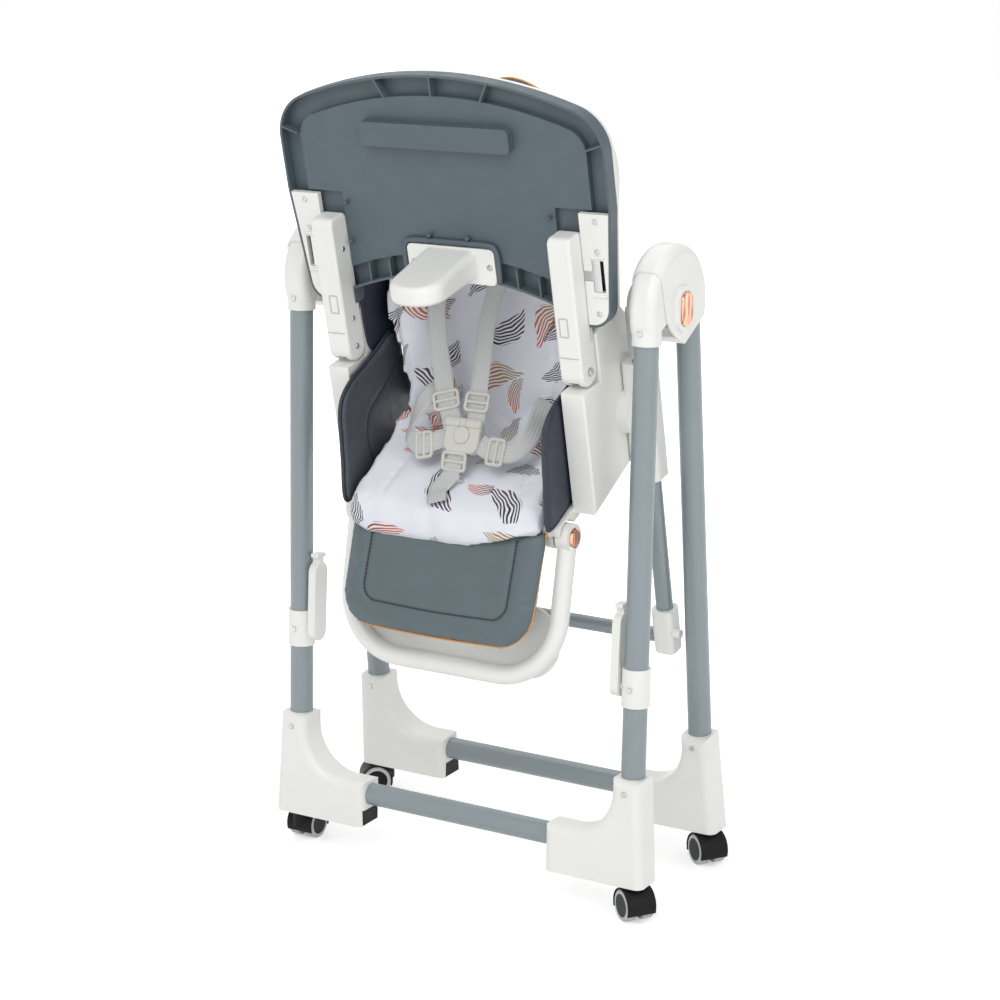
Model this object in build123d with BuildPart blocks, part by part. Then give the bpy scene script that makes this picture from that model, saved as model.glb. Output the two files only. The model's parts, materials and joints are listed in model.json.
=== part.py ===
"""Folding baby high chair with a hanging seat frame, a height slide and a flip-up tray.

Millimetres, +Z up, the chair faces -Y and left is the seated child's left, +X.
The frame is folded. Everything that hangs from the hub is drawn in the seat frame:
y backward and z upward from the hub axis, leaning by seat_lean with its top forward.
"""

import os
from math import cos, radians, sin, tan

from build123d import *

os.makedirs("parts", exist_ok=True)

# Clearances
play = 0.4
running_fit = 0.05
soft_gap = 0.3

# Hub axis and legs
hub_y = 19.05
hub_z = 755.0
leg_x = 246.5
leg_r = 15.0
tube_wall = 1.5
front_leg_y = -50.6
front_lean = 2.0
rear_leg_y = 54.5
rear_lean = 6.2
leg_bottom = 96.0

# Feet and base bars
foot_bottom = 44.0
foot_top = 180.0
foot_depth = 48.0
foot_wall = 4.0
foot_flare = 9.0
foot_inner_x = 136.0
foot_round = 11.0
bar_r = 14.5
bar_z = 84.0
bar_end_x = 220.0
plug_length = 24.0

# Casters
wheel_r = 20.0
wheel_width = 15.0
caster_trail = 14.0
caster_web = 7.0
hood_wall = 2.4
caster_axle_r = 3.0
stem_r = 5.5
stem_length = 28.0
caster_headings = {"front_left": -37.0, "front_right": 90.0, "rear_left": -37.0, "rear_right": -143.0}

# Hub
dome_r = 74.2
dome_wall = 2.4
dome_round = 14.0
lip_angle = 40.0
cavity_start = 104.0
cavity_end = 250.0
knuckle_start = 139.0
knuckle_end = 205.0
knuckle_in_r = 25.0
socket_r = 18.0
socket_taper = 1.5
socket_bottom = -41.0
socket_length = 55.0
socket_web = 19.0
socket_disc_r = 27.0
axle_r = 6.0
boss_width = 40.0
boss_height = 56.0
boss_depth = 5.0
boss_at = (0, -3)
button_width = 28.0
button_height = 42.0
button_proud = 3.0
button_depth = 15.0

# Seat frame: hanging tubes, heads, ends and cross bar
seat_lean = 12.8
swing_x = 205.0
swing_r = 11.0
swing_top = -30.0
swing_bottom = -468.0
head_r = 25.0
head_bottom = -70.0
end_top = -418.0
end_bottom = -480.0
end_width = 30.0
swing_bar_z = -460.0
swing_bar_r = 9.5
stop_pin_r = 6.0
stop_pin_y = -8.0
stop_pin_length = 9.0

# Collars and swing links on the front legs
collar_z = 271.0
collar_height = 48.0
collar_wall = 2.5
link_z = 293.0
link_length = 78.0
link_width = 27.0
link_thickness = 11.0
link_lean = 4.0
link_pin_r = 5.0

# Side panels, height sliders and triggers
panel_in_x = 152.0
panel_width = 31.0
panel_front = -110.0
panel_back = 14.0
panel_low_front = -238.0
panel_low_back = -203.0
panel_high = -8.0
slider_width = 39.0
slider_depth = 36.0
slider_top = -76.0
slider_bottom = -232.0
slider_boss_r = 28.0
slider_boss_z = -141.0
slider_boss_depth = 14.0
trigger_width = 15.0
trigger_height = 52.0
trigger_z = -158.0
trigger_travel = 3.0
trigger_proud = 8.0

# Seat shell, liner and wings
shell_front = -150.0
shell_front_z = -240.0
shell_back = 4.0
shell_back_z = -209.0
shell_thickness = 18.0
liner_half = 136.0
liner_thickness = 32.0
wing_thickness = 11.0
wing_front = -170.0
wing_top = -80.0

# Backrest
recline_y = -4.0
recline_z = -188.0
back_lean = 14.0
back_length = 418.0
back_corner = 100.0
back_half = 146.0
back_start = 24.0
back_setback = 12.0
back_thickness = 18.0
back_liner_thickness = 21.0
recline_pin_r = 6.0
lever_width = 90.0

# Footrest and calf pad
rest_y = -130.0
rest_z = -262.0
rest_lean = 24.0
rest_half = 152.0
rest_r = 12.0
rest_length = 182.0
rest_corner = 80.0
rest_hub_r = 18.0
rest_hub_width = 17.0
rest_pin_r = 6.0
rest_plate = 4.0
rest_plate_back = 10.0
rest_plate_top = 92.0
pad_clearance = 4.0
pad_half = rest_half - rest_r - pad_clearance
pad_start = 58.0
pad_end = 146.0
pad_thickness = 22.0
pad_corner = 40.0
stand_width = 90.0
stand_height = 40.0
stand_reach = 34.0
cap_r = 12.0
cap_travel = 2.0

# Tray arms
arm_y = -85.5
arm_z = -59.0
arm_r = 18.5
arm_top = 113.0
arm_in_x = 150.0
arm_width = 31.0
arm_round = 4.0
lug_width = 13.5
lug_r = 15.0
lug_tongue = 24.0
arm_pin_r = 4.0
groove_depth = 4.0
groove_width = 5.0
groove_y = -73.5
groove_low = -25.0

# Tray
tray_front = -77.0
tray_depth = 20.0
tray_half = 225.0
tray_top = 294.0
tray_shoulder = 246.0
tray_waist = 140.0
tray_low = -5.0
tray_low_half = 211.0
tray_rim = 3.0
gutter_width = 24.0
gutter_depth = 14.0
island_drop = 5.0
tray_floor = 4.0
belly_half = 148.0
belly_end = 14.0
belly_peak = 43.0
rib = 2.2
block_width = 206.0
block_height = 30.0
block_z = 220.0
block_proud = 12.0
channel_top = 140.0
channel_depth = 11.5
rail_thickness = 7.0
rail_top = 137.0
window_inset = 11.0
window_width = 16.0
window_height = 40.0
window_z = 60.0
catch_travel = 5.0
post_width = 122.0
post_low = 36.0
post_high = 82.0
post_plate = 6.0
post_screw_x = 53.0
post_screw_z = 58.5
tongue_half = 36.0
tongue_tip = -184.0
tongue_low = 44.0
tongue_root_top = 80.0
tongue_tip_top = 67.0
tongue_round = 9.0
top_tray_depth = 5.0
top_tray_rim = 7.0
top_tray_floor = 2.0

# Harness
strap_width = 25.0
strap_thickness = 2.4
strap_x = 28.0
strap_top = 290.0
buckle_y = -98.0
buckle_z = -160.0
buckle_tilt = 35.0
buckle_width = 50.0
buckle_height = 44.0
buckle_depth = 15.0
buckle_button_r = 11.0
buckle_travel = 3.0

# Screws
screw_r = 3.6
screw_head = 1.4

seat_back_dir = Vector(0, cos(radians(seat_lean)), sin(radians(seat_lean)))
seat_up_dir = Vector(0, -sin(radians(seat_lean)), cos(radians(seat_lean)))
seat_back_axis = Axis((0, 0, 0), seat_back_dir)
seat_up_axis = Axis((0, 0, 0), seat_up_dir)


def hub_side(x):
    """Upright plane at X = x whose sketch axes are Y and Z from the hub axis."""
    return Plane(origin=(x, hub_y, hub_z), x_dir=(0, 1, 0), z_dir=(1, 0, 0))


def seat_point(x, y, z):
    return Vector(x, hub_y, hub_z) + seat_back_dir * y + seat_up_dir * z


def seat_side(x):
    """Seat-frame plane at X = x whose sketch axes are y and z of the seat frame."""
    return Plane(origin=seat_point(x, 0, 0), x_dir=seat_back_dir, z_dir=(1, 0, 0))


def seat_front(y):
    """Seat-frame plane facing forward at depth y; its sketch axes are X and z."""
    return Plane(origin=seat_point(0, y, 0), x_dir=(1, 0, 0), z_dir=seat_back_dir * -1)


def seat_level(z):
    """Seat-frame plane facing upward at height z; its sketch axes are X and y."""
    return Plane(origin=seat_point(0, 0, z), x_dir=(1, 0, 0), z_dir=seat_up_dir)


def leaned(origin, lean):
    """Plane facing +X in the seat frame whose upward axis leans back by an angle."""
    depth_dir = seat_back_dir * cos(radians(lean)) - seat_up_dir * sin(radians(lean))
    return Plane(origin=origin, x_dir=depth_dir, z_dir=(1, 0, 0))


def facing(side_plane, depth):
    """Plane facing forward at a depth along a leaned plane; its sketch axes are X and height."""
    origin = side_plane.origin + side_plane.x_dir * depth
    return Plane(origin=origin, x_dir=(1, 0, 0), z_dir=side_plane.x_dir * -1)


def front_axis(x, height):
    """Plane across the front leg at a height above the floor."""
    slope = radians(front_lean)
    y = hub_y + front_leg_y + (height - hub_z) * tan(slope)
    return Plane(origin=(x, y, height), x_dir=(1, 0, 0), z_dir=(0, sin(slope), cos(slope)))


def rear_axis(x, height):
    """Plane across the rear leg at a height above the floor."""
    slope = radians(rear_lean)
    y = hub_y + rear_leg_y - (height - hub_z) * tan(slope)
    return Plane(origin=(x, y, height), x_dir=(1, 0, 0), z_dir=(0, -sin(slope), cos(slope)))


def save(piece, name):
    """Label a finished piece and write its file."""
    piece.part.label = name
    export_step(piece.part, f"parts/{name}.step")


def tube(plane, radius, wall, length):
    with BuildPart() as piece:
        with BuildSketch(plane):
            Circle(radius)
            Circle(radius - wall, mode=Mode.SUBTRACT)
        extrude(amount=length)
    return piece.part


def rod(plane, radius, length, at=(0, 0)):
    with BuildPart() as piece:
        with BuildSketch(plane):
            with Locations(at):
                Circle(radius)
        extrude(amount=length)
    return piece.part


def slab(plane, corners, thickness, corner_radius=0.0):
    """Flat piece with the given outline, its corners rounded."""
    with BuildPart() as piece:
        with BuildSketch(plane) as outline:
            Polygon(*corners, align=None)
            if corner_radius > 0:
                fillet(outline.vertices(), corner_radius)
        extrude(amount=thickness)
    return piece.part


def block(plane, width, height, thickness, at=(0, 0), corner_radius=0.0):
    with BuildPart() as piece:
        with BuildSketch(plane):
            with Locations(at):
                if corner_radius > 0:
                    RectangleRounded(width, height, corner_radius)
                else:
                    Rectangle(width, height)
        extrude(amount=thickness)
    return piece.part


def mirrored(part):
    with BuildPart() as piece:
        mirror(part, about=Plane.YZ)
    return piece.part


def save_sides(part, name):
    """Write a left piece and its mirror image as two nodes."""
    for side, solid in (("left", part), ("right", mirrored(part))):
        with BuildPart() as piece:
            add(solid)
        save(piece, f"{name}_{side}")


def save_pair(part, name):
    """Write a left piece and its mirror image as one node of two solids."""
    with BuildPart() as piece:
        add(part)
        add(mirrored(part))
    save(piece, name)


# Legs and base bars
front_leg_length = (hub_z - 5 - leg_bottom) / cos(radians(front_lean))
rear_leg_length = (hub_z + 8 - leg_bottom) / cos(radians(rear_lean))
save_sides(tube(front_axis(leg_x, leg_bottom), leg_r, tube_wall, front_leg_length), "front_leg")
save_sides(tube(rear_axis(leg_x, leg_bottom), leg_r, tube_wall, rear_leg_length), "rear_leg")


def bar_plane(axis, x):
    """Plane facing +X on the axis of the base bar under a pair of legs."""
    return Plane(origin=(x, axis(0, bar_z).origin.Y, bar_z), x_dir=(0, 1, 0), z_dir=(1, 0, 0))


for end, axis in (("front", front_axis), ("rear", rear_axis)):
    with BuildPart() as base_bar:
        add(tube(bar_plane(axis, -bar_end_x), bar_r, tube_wall, 2 * bar_end_x))
    save(base_bar, f"{end}_bar")


def foot(axis):
    """Moulded foot: a socket for the leg that sweeps into a socket for the base bar."""
    base = axis(0, foot_bottom)
    face = Plane(origin=base.origin, x_dir=(1, 0, 0), z_dir=base.y_dir * -1)
    skirt = -foot_depth / 2
    bar_top = bar_z + bar_r + foot_wall - foot_bottom
    socket_in = leg_x - leg_r - foot_wall
    socket_out = leg_x + leg_r + foot_wall
    height = foot_top - foot_bottom
    sweep_r = 60.0
    sweep_start = (socket_in - sweep_r, bar_top)
    sweep_end = (socket_in, bar_top + sweep_r)
    sweep_mid = (socket_in - sweep_r * (1 - sin(radians(45))), bar_top + sweep_r * (1 - cos(radians(45))))
    with BuildPart() as piece:
        with BuildSketch(face):
            with BuildLine():
                Polyline((foot_inner_x, skirt), (foot_inner_x, bar_top), sweep_start)
                ThreePointArc(sweep_start, sweep_mid, sweep_end)
                Polyline(
                    sweep_end,
                    (socket_in, height),
                    (socket_out, height),
                    (socket_out + foot_flare, skirt),
                    (foot_inner_x, skirt),
                )
            make_face()
        extrude(amount=foot_depth / 2, both=True)
        big_faces = piece.faces().filter_by(Plane(base.origin, z_dir=face.z_dir))
        rims = big_faces.edges().filter_by(lambda e: e.center().Z > foot_bottom + 2)
        fillet(rims, foot_round)
        split(bisect_by=Plane.XY.offset(foot_bottom), keep=Keep.TOP)
        add(rod(axis(leg_x, leg_bottom), leg_r, foot_top), mode=Mode.SUBTRACT)
        add(rod(bar_plane(axis, 0), bar_r, bar_end_x), mode=Mode.SUBTRACT)
        # hollow under the bar, open at the inner end
        hollow_top = bar_z - bar_r - foot_wall
        hollow = Plane(origin=(foot_inner_x, base.origin.Y, foot_bottom), x_dir=(0, 1, 0), z_dir=(1, 0, 0))
        hollow_width = foot_depth - 2 * foot_wall - 4
        hollow_height = hollow_top - foot_bottom
        add(
            block(hollow, hollow_width, 2 * hollow_height, bar_end_x - foot_inner_x),
            mode=Mode.SUBTRACT,
        )
        stem_bore = Plane(origin=axis(leg_x, foot_bottom).origin)
        add(rod(stem_bore, stem_r + running_fit, stem_length + 2), mode=Mode.SUBTRACT)
    return piece.part


def screw(x, y, z):
    """Domed screw head standing on a face that looks forward."""
    with BuildPart() as piece:
        add(rod(Plane(origin=(x, y, z), x_dir=(1, 0, 0), z_dir=(0, -1, 0)), screw_r, screw_head))
        fillet(piece.faces().sort_by(Axis.Y)[0].edges(), screw_head * 0.7)
    return piece.part


def foot_plug(axis):
    """Black plug that closes the hollow under the bar."""
    centre = axis(0, foot_bottom).origin.Y
    height = bar_z - bar_r - foot_wall - foot_bottom
    width = foot_depth - 2 * foot_wall - 4
    start = Plane(
        origin=(foot_inner_x + 2, centre, foot_bottom + height / 2), x_dir=(0, 1, 0), z_dir=(1, 0, 0)
    )
    return block(start, width, height, plug_length)


for end, axis in (("front", front_axis), ("rear", rear_axis)):
    save_pair(foot(axis), f"{end}_feet")
    save_pair(foot_plug(axis), f"{end}_foot_plugs")


def caster(x, y, heading):
    """Swivel hood and twin wheels of one caster, trailing along its heading."""
    trail_dir = Vector(cos(radians(heading)), sin(radians(heading)), 0)
    side = Plane(origin=(x, y, 0), x_dir=trail_dir, z_dir=trail_dir.cross(Vector(0, 0, 1)))
    hood_r = wheel_r + hood_wall
    half = caster_web / 2 + wheel_width + 1
    hub = (caster_trail, wheel_r)
    with BuildPart() as hood:
        with BuildSketch(side):
            with Locations(hub):
                Circle(hood_r)
            with Locations((caster_trail, 0)):
                Rectangle(4 * wheel_r, 1.2 * wheel_r, mode=Mode.SUBTRACT)
        extrude(amount=half, both=True)
        outer = hood.edges().filter_by(GeomType.CIRCLE)
        fillet(outer, 1.6)
        add(rod(Plane(origin=(x, y, wheel_r)), 12.0, foot_bottom - play - wheel_r))
        for sign in (1, -1):
            web_face = side.origin + side.z_dir * (sign * caster_web / 2)
            well = Plane(origin=web_face, x_dir=trail_dir, z_dir=side.z_dir * sign)
            turned = (hub[0], hub[1] * sign)
            add(rod(well, wheel_r + 0.8, half, turned), mode=Mode.SUBTRACT)
        with BuildSketch(side):
            with Locations(hub):
                Circle(caster_axle_r + 3)
        extrude(amount=caster_web / 2, both=True)
        with BuildSketch(side):
            with Locations(hub):
                Circle(caster_axle_r + running_fit)
        extrude(amount=half, both=True, mode=Mode.SUBTRACT)
        add(rod(Plane(origin=(x, y, foot_bottom - play - 4)), stem_r, stem_length + play + 4))
    with BuildPart() as wheels:
        for sign in (1, -1):
            with BuildSketch(side.offset(sign * (caster_web / 2 + play + wheel_width / 2))):
                with Locations(hub):
                    Circle(wheel_r)
            extrude(amount=wheel_width / 2, both=True)
        fillet(wheels.edges().filter_by(GeomType.CIRCLE), 2.5)
        with BuildSketch(side):
            with Locations(hub):
                Circle(caster_axle_r)
        extrude(amount=caster_web / 2 + wheel_width / 2, both=True)
    return hood, wheels


for corner, heading in caster_headings.items():
    axis = front_axis if corner.startswith("front") else rear_axis
    x = leg_x if corner.endswith("left") else -leg_x
    hood, wheels = caster(x, axis(0, foot_bottom).origin.Y, heading)
    save(hood, f"caster_hood_{corner}")
    save(wheels, f"caster_wheels_{corner}")

def arcs_of_radius(piece, radius):
    """Circular edges of one radius."""
    return piece.edges().filter_by(GeomType.CIRCLE).filter_by(lambda e: abs(e.radius - radius) < 0.1)


# Hub sockets, domes, axles and fold buttons
web_start = leg_x - socket_web / 2
dome_in = leg_x - socket_r - play - dome_wall
dome_out = leg_x + socket_r + play + dome_wall
head_out = dome_in - play
axle_in = swing_x

def hub_sector(start_x, thickness, radius, start, end, edge_round):
    """Slice of a disc about the hub between two angles, with its rim rounded."""
    angles = [radians(angle) for angle in (start, (start + end) / 2, end)]
    first, middle, last = [(radius * cos(angle), radius * sin(angle)) for angle in angles]
    with BuildPart() as piece:
        with BuildSketch(hub_side(start_x)):
            with BuildLine():
                ThreePointArc(first, middle, last)
                Polyline(last, (0, 0), first)
            make_face()
        extrude(amount=thickness)
        fillet(arcs_of_radius(piece, radius), edge_round)
    return piece.part


cavity_r = dome_r - dome_wall
cavity_round = dome_round - dome_wall
with BuildPart() as front_socket:
    knuckle_r = cavity_r - play
    add(
        hub_sector(
            leg_x - socket_r, 2 * socket_r, knuckle_r, knuckle_start, knuckle_end, cavity_round - play
        )
    )
    add(rod(hub_side(0), knuckle_in_r, 2 * leg_x), mode=Mode.SUBTRACT)
    with BuildPart() as sleeve:
        with BuildSketch(front_axis(leg_x, hub_z + socket_bottom)):
            Circle(socket_r)
        extrude(amount=socket_length, taper=socket_taper)
        fillet(sleeve.faces().sort_by(Axis.Z)[-1].edges(), 8)
    add(sleeve.part)
    add(slab(hub_side(web_start), [(front_leg_y, -24), (front_leg_y, 8), (0, 8), (0, -24)], socket_web))
    add(rod(hub_side(web_start), socket_disc_r, socket_web))
    add(rod(front_axis(leg_x, hub_z + socket_bottom - 1), leg_r, -socket_bottom - 3), mode=Mode.SUBTRACT)
    add(rod(hub_side(0), axle_r, 2 * leg_x), mode=Mode.SUBTRACT)
save_pair(front_socket.part, "front_sockets")

with BuildPart() as hub_axle:
    add(rod(hub_side(axle_in), axle_r, leg_x + socket_web / 2 - axle_in))
save_pair(hub_axle.part, "hub_axles")

with BuildPart() as hub_dome:
    lip = (-dome_r * cos(radians(lip_angle)), dome_r * sin(radians(lip_angle)))
    heel = (dome_r * cos(radians(10)), -dome_r * sin(radians(10)))
    tip = (8, -47)
    with BuildSketch(hub_side(dome_in)) as dome_outline:
        with BuildLine():
            ThreePointArc(lip, (0, dome_r), heel)
            Line(heel, tip)
            Spline(tip, (-14, -36), (-32, -22), (-43, 4), (-50, 28), lip)
        make_face()
    extrude(amount=dome_out - dome_in)
    fillet(arcs_of_radius(hub_dome, dome_r), dome_round)
    add(block(hub_side(dome_out), boss_width, boss_height, boss_depth, boss_at, boss_width / 2 - 2))
    cavity_width = dome_out - dome_in - 2 * dome_wall
    cavity = hub_sector(dome_in + dome_wall, cavity_width, cavity_r, cavity_start, cavity_end, cavity_round)
    add(cavity, mode=Mode.SUBTRACT)
    disc_room = socket_web + 2 * play
    add(rod(hub_side(leg_x - disc_room / 2), socket_disc_r + play, disc_room), mode=Mode.SUBTRACT)
    add(rod(rear_axis(leg_x, hub_z - 70), leg_r, 78 / cos(radians(rear_lean))), mode=Mode.SUBTRACT)
    add(rod(hub_side(0), axle_r + running_fit, leg_x), mode=Mode.SUBTRACT)
    add(
        block(
            hub_side(leg_x + socket_web / 2),
            button_width + 2 * play,
            button_height + 2 * play,
            dome_r,
            boss_at,
            button_width / 2 - 1,
        ),
        mode=Mode.SUBTRACT,
    )
save_pair(hub_dome.part, "hub_domes")

with BuildPart() as fold_button:
    button_face = dome_out + boss_depth + button_proud
    button_start = hub_side(button_face - button_depth)
    add(block(button_start, button_width, button_height, button_depth, boss_at, button_width / 2 - 1.4))
    fillet(fold_button.faces().sort_by(Axis.X)[-1].edges(), 2.5)
save_sides(fold_button.part, "fold_button")

# Collars and swing links
with BuildPart() as collar:
    add(tube(front_axis(leg_x, collar_z), leg_r + collar_wall, collar_wall, collar_height))
    link_centre = front_axis(0, link_z).origin.Y - hub_y
    link_out = leg_x - leg_r - collar_wall - 1
    link_in = link_out - link_thickness
    pin_start = hub_side(link_in)
    add(rod(pin_start, link_pin_r, leg_x - leg_r - link_in + 0.5, (link_centre, link_z - hub_z)))
    add(rod(front_axis(leg_x, collar_z - 1), leg_r, collar_height + 2), mode=Mode.SUBTRACT)
save_pair(collar.part, "front_collars")

with BuildPart() as link_arm:
    link_dir = (0, cos(radians(link_lean)), -sin(radians(link_lean)))
    link_plane = Plane(origin=(link_in, hub_y + link_centre, link_z), x_dir=link_dir, z_dir=(1, 0, 0))
    with BuildSketch(link_plane):
        with Locations((0, link_length / 2)):
            SlotOverall(link_length + link_width, link_width, rotation=90)
        with Locations((0, link_length + link_width / 2 + 4)):
            Rectangle(9, 12)
        with Locations((0, link_length + link_width / 2 + 9)):
            Rectangle(18, 5)
        Circle(link_pin_r + running_fit, mode=Mode.SUBTRACT)
    extrude(amount=link_thickness)
save_sides(link_arm.part, "link_arm")

# Screw heads
screw_gap = 0.1
foot_screw_z = foot_top - 16
with BuildPart() as front_screw:
    foot_face = front_axis(0, foot_screw_z).origin.Y - foot_depth / 2 / cos(radians(front_lean))
    add(screw(leg_x, foot_face - 0.3, foot_screw_z))
    collar_mid = collar_z + collar_height / 2
    collar_face = front_axis(0, collar_mid).origin.Y - leg_r - collar_wall
    add(screw(leg_x, collar_face - 0.3, collar_mid))
    socket_screw_z = hub_z + socket_bottom + 16
    add(screw(leg_x, front_axis(0, socket_screw_z).origin.Y - socket_r - screw_gap, socket_screw_z))
save_pair(front_screw.part, "front_screws")

with BuildPart() as rear_screw:
    foot_face = rear_axis(0, foot_screw_z).origin.Y - foot_depth / 2 / cos(radians(rear_lean))
    add(screw(leg_x, foot_face - 0.6, foot_screw_z))
save_pair(rear_screw.part, "rear_screws")

# Swing frame
swing_length = swing_top - swing_bottom


def swing_column(z):
    """Plane across the left hanging tube at a seat-frame height."""
    return Plane(origin=seat_point(swing_x, 0, z), x_dir=(1, 0, 0), z_dir=seat_up_dir)


with BuildPart() as swing_tube:
    add(tube(swing_column(swing_bottom), swing_r, tube_wall, swing_length))
save_pair(swing_tube.part, "swing_tubes")

with BuildPart() as swing_head:
    add(rod(seat_side(swing_x), head_r, head_out - swing_x))
    socket_wall = 3.5
    add(rod(swing_column(head_bottom), swing_r + socket_wall, -head_bottom - 8))
    fillet(swing_head.edges().filter_by(GeomType.CIRCLE).group_by(Axis.X)[-1], 2)
    add(rod(swing_column(swing_bottom), swing_r, swing_length), mode=Mode.SUBTRACT)
    add(rod(hub_side(0), axle_r + running_fit, leg_x), mode=Mode.SUBTRACT)
save_pair(swing_head.part, "swing_heads")

with BuildPart() as swing_end:
    add(block(swing_column(end_bottom), end_width, end_width, end_top - end_bottom, (0, 0), 9))
    fillet(swing_end.faces().sort_by(Axis.Z)[0].edges(), 4)
    pin_at = (stop_pin_y, (end_top + end_bottom) / 2)
    add(rod(seat_side(swing_x + end_width / 2 - 1), stop_pin_r, stop_pin_length + 1, pin_at))
    add(rod(swing_column(swing_bottom), swing_r, swing_length), mode=Mode.SUBTRACT)
save_pair(swing_end.part, "swing_ends")

with BuildPart() as swing_bar:
    bar_half = swing_x - end_width / 2
    bar_start = Plane(origin=seat_point(-bar_half, 0, swing_bar_z), x_dir=seat_back_dir, z_dir=(1, 0, 0))
    add(tube(bar_start, swing_bar_r, tube_wall, 2 * bar_half))
save(swing_bar, "swing_bar")

# Side panels with the lugs that carry the tray arms
panel_out_x = panel_in_x + panel_width
arm_mid_x = arm_in_x + arm_width / 2
lug_start = seat_side(arm_mid_x - lug_width / 2)
panel_shelf = arm_z - arm_r - 2
panel_step = arm_y + arm_r + 1.5
with BuildPart() as side_panel:
    panel_outline = [
        (panel_front, panel_low_front),
        (panel_front, panel_shelf),
        (panel_step, panel_shelf),
        (panel_step, panel_high - 10),
        (panel_step + 12, panel_high),
        (panel_back - 12, panel_high),
        (panel_back, panel_high - 14),
        (panel_back, panel_low_back),
    ]
    add(slab(seat_side(panel_in_x), panel_outline, panel_width))
    fillet(side_panel.faces().sort_by(Axis.X)[-1].edges(), 3)
    panel_wall = 4.0
    pocket_outline = [
        (panel_front + panel_wall, panel_low_front + 6),
        (panel_front + panel_wall, panel_shelf - 12),
        (panel_back - panel_wall, panel_shelf - 12),
        (panel_back - panel_wall, panel_low_back + 4),
    ]
    add(slab(seat_side(panel_in_x), pocket_outline, panel_width - panel_wall), mode=Mode.SUBTRACT)
    add(rod(seat_side(panel_in_x), recline_pin_r + 5, panel_width - 1, (recline_y, recline_z)))
    lug_back = panel_step + 4
    add(rod(lug_start, lug_r, lug_width, (arm_y, arm_z)))
    tongue_at = ((arm_y + lug_back) / 2, arm_z)
    add(block(lug_start, lug_back - arm_y, lug_tongue, lug_width, tongue_at))
    add(rod(seat_side(0), arm_pin_r + running_fit, 2 * arm_mid_x, (arm_y, arm_z)), mode=Mode.SUBTRACT)
    pin_depth = panel_in_x + 12
    recline_at = (recline_y, recline_z)
    add(rod(seat_side(0), recline_pin_r + running_fit, pin_depth, recline_at), mode=Mode.SUBTRACT)
save_sides(side_panel.part, "side_panel")

# Height sliders and their triggers
with BuildPart() as height_slider:
    slider_mid = panel_out_x + slider_width / 2
    slider_height = slider_top - slider_bottom
    add(block(seat_level(slider_bottom), slider_width, slider_depth, slider_height, (slider_mid, 0), 9))
    add(rod(seat_side(panel_out_x), slider_boss_r, slider_boss_depth, (-10, slider_boss_z)))
    add(rod(swing_column(slider_bottom), swing_r + play, slider_height), mode=Mode.SUBTRACT)
    pocket = seat_front(slider_depth / 2 - trigger_travel - play)
    pocket_depth = -(trigger_travel + play + 1)
    pocket_width = trigger_width + 2 * play
    pocket_height = trigger_height + 2 * play
    trigger_at = (swing_x, trigger_z)
    add(block(pocket, pocket_width, pocket_height, pocket_depth, trigger_at), mode=Mode.SUBTRACT)
save_pair(height_slider.part, "height_sliders")

with BuildPart() as height_trigger:
    trigger_back = seat_front(slider_depth / 2 + trigger_proud)
    add(block(trigger_back, trigger_width, trigger_height, trigger_proud, trigger_at, 4))
    fillet(height_trigger.faces().sort_by(seat_back_axis)[-1].edges(), 2)
save_sides(height_trigger.part, "height_trigger")

# Seat shell with the footrest lugs
cap_room = rest_half + rest_hub_width / 2 - cap_travel - play - 2
shell_slope = (shell_back_z - shell_front_z) / (shell_back - shell_front)
with BuildPart() as seat_shell:
    shell_outline = [
        (shell_front, shell_front_z - shell_thickness),
        (shell_front, shell_front_z),
        (shell_back, shell_back_z),
        (shell_back, shell_back_z - shell_thickness),
    ]
    add(slab(seat_side(-panel_in_x), shell_outline, 2 * panel_in_x, 5))
    lug_in = rest_half - rest_r - play - 12
    for start in (lug_in, -lug_in - 12):
        add(rod(seat_side(start), rest_hub_r - 2, 12, (rest_y, rest_z)))
    for start in (lug_in + 12, -panel_in_x - 1):
        notch_width = panel_in_x + 1 - lug_in - 12
        add(rod(seat_side(start), rest_hub_r + 4, notch_width, (rest_y, rest_z)), mode=Mode.SUBTRACT)
    pin_length = cap_room - play - lug_in
    for start in (lug_in, -lug_in - pin_length):
        add(rod(seat_side(start), rest_pin_r, pin_length, (rest_y, rest_z)))
save(seat_shell, "seat_shell")

# Seat liner and wings, plain soft solids
liner_front = shell_front - 14
with BuildPart() as seat_liner:
    liner_base = shell_front_z + soft_gap
    liner_outline = [
        (liner_front, liner_base - 40),
        (liner_front - 2, liner_base - 8),
        (liner_front + 18, liner_base + liner_thickness - 8),
        (recline_y - 14, shell_back_z + liner_thickness - 8),
        (recline_y - 14, shell_back_z - shell_slope * (shell_back - recline_y + 14) + soft_gap),
        (shell_front - soft_gap, liner_base),
        (shell_front - soft_gap, liner_base - 40),
    ]
    add(slab(seat_side(-liner_half), liner_outline, 2 * liner_half))
save(seat_liner, "seat_liner")

with BuildPart() as seat_wing:
    wing_out = panel_in_x - soft_gap
    wing_back = recline_y - 14
    wing_outline = [
        (wing_back, wing_top - 4),
        (panel_front + 12, wing_top),
        (shell_front + 2, wing_top - 52),
        (wing_front, shell_front_z + 15),
        (wing_front + 8, shell_front_z + 2),
        (shell_front, shell_front_z + soft_gap + 0.2),
        (wing_back, shell_back_z - shell_slope * (shell_back - wing_back) + soft_gap),
    ]
    add(slab(seat_side(wing_out - wing_thickness), wing_outline, wing_thickness))
save_pair(seat_wing.part, "seat_wings")

# Backrest, drawn along its own slope from the recline axis
def back_side(x):
    """Plane at X = x on the recline axis; its sketch axes are backrest depth and height."""
    return leaned(seat_point(x, recline_y, recline_z), back_lean)


def back_front(depth):
    return facing(back_side(0), depth)


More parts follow.
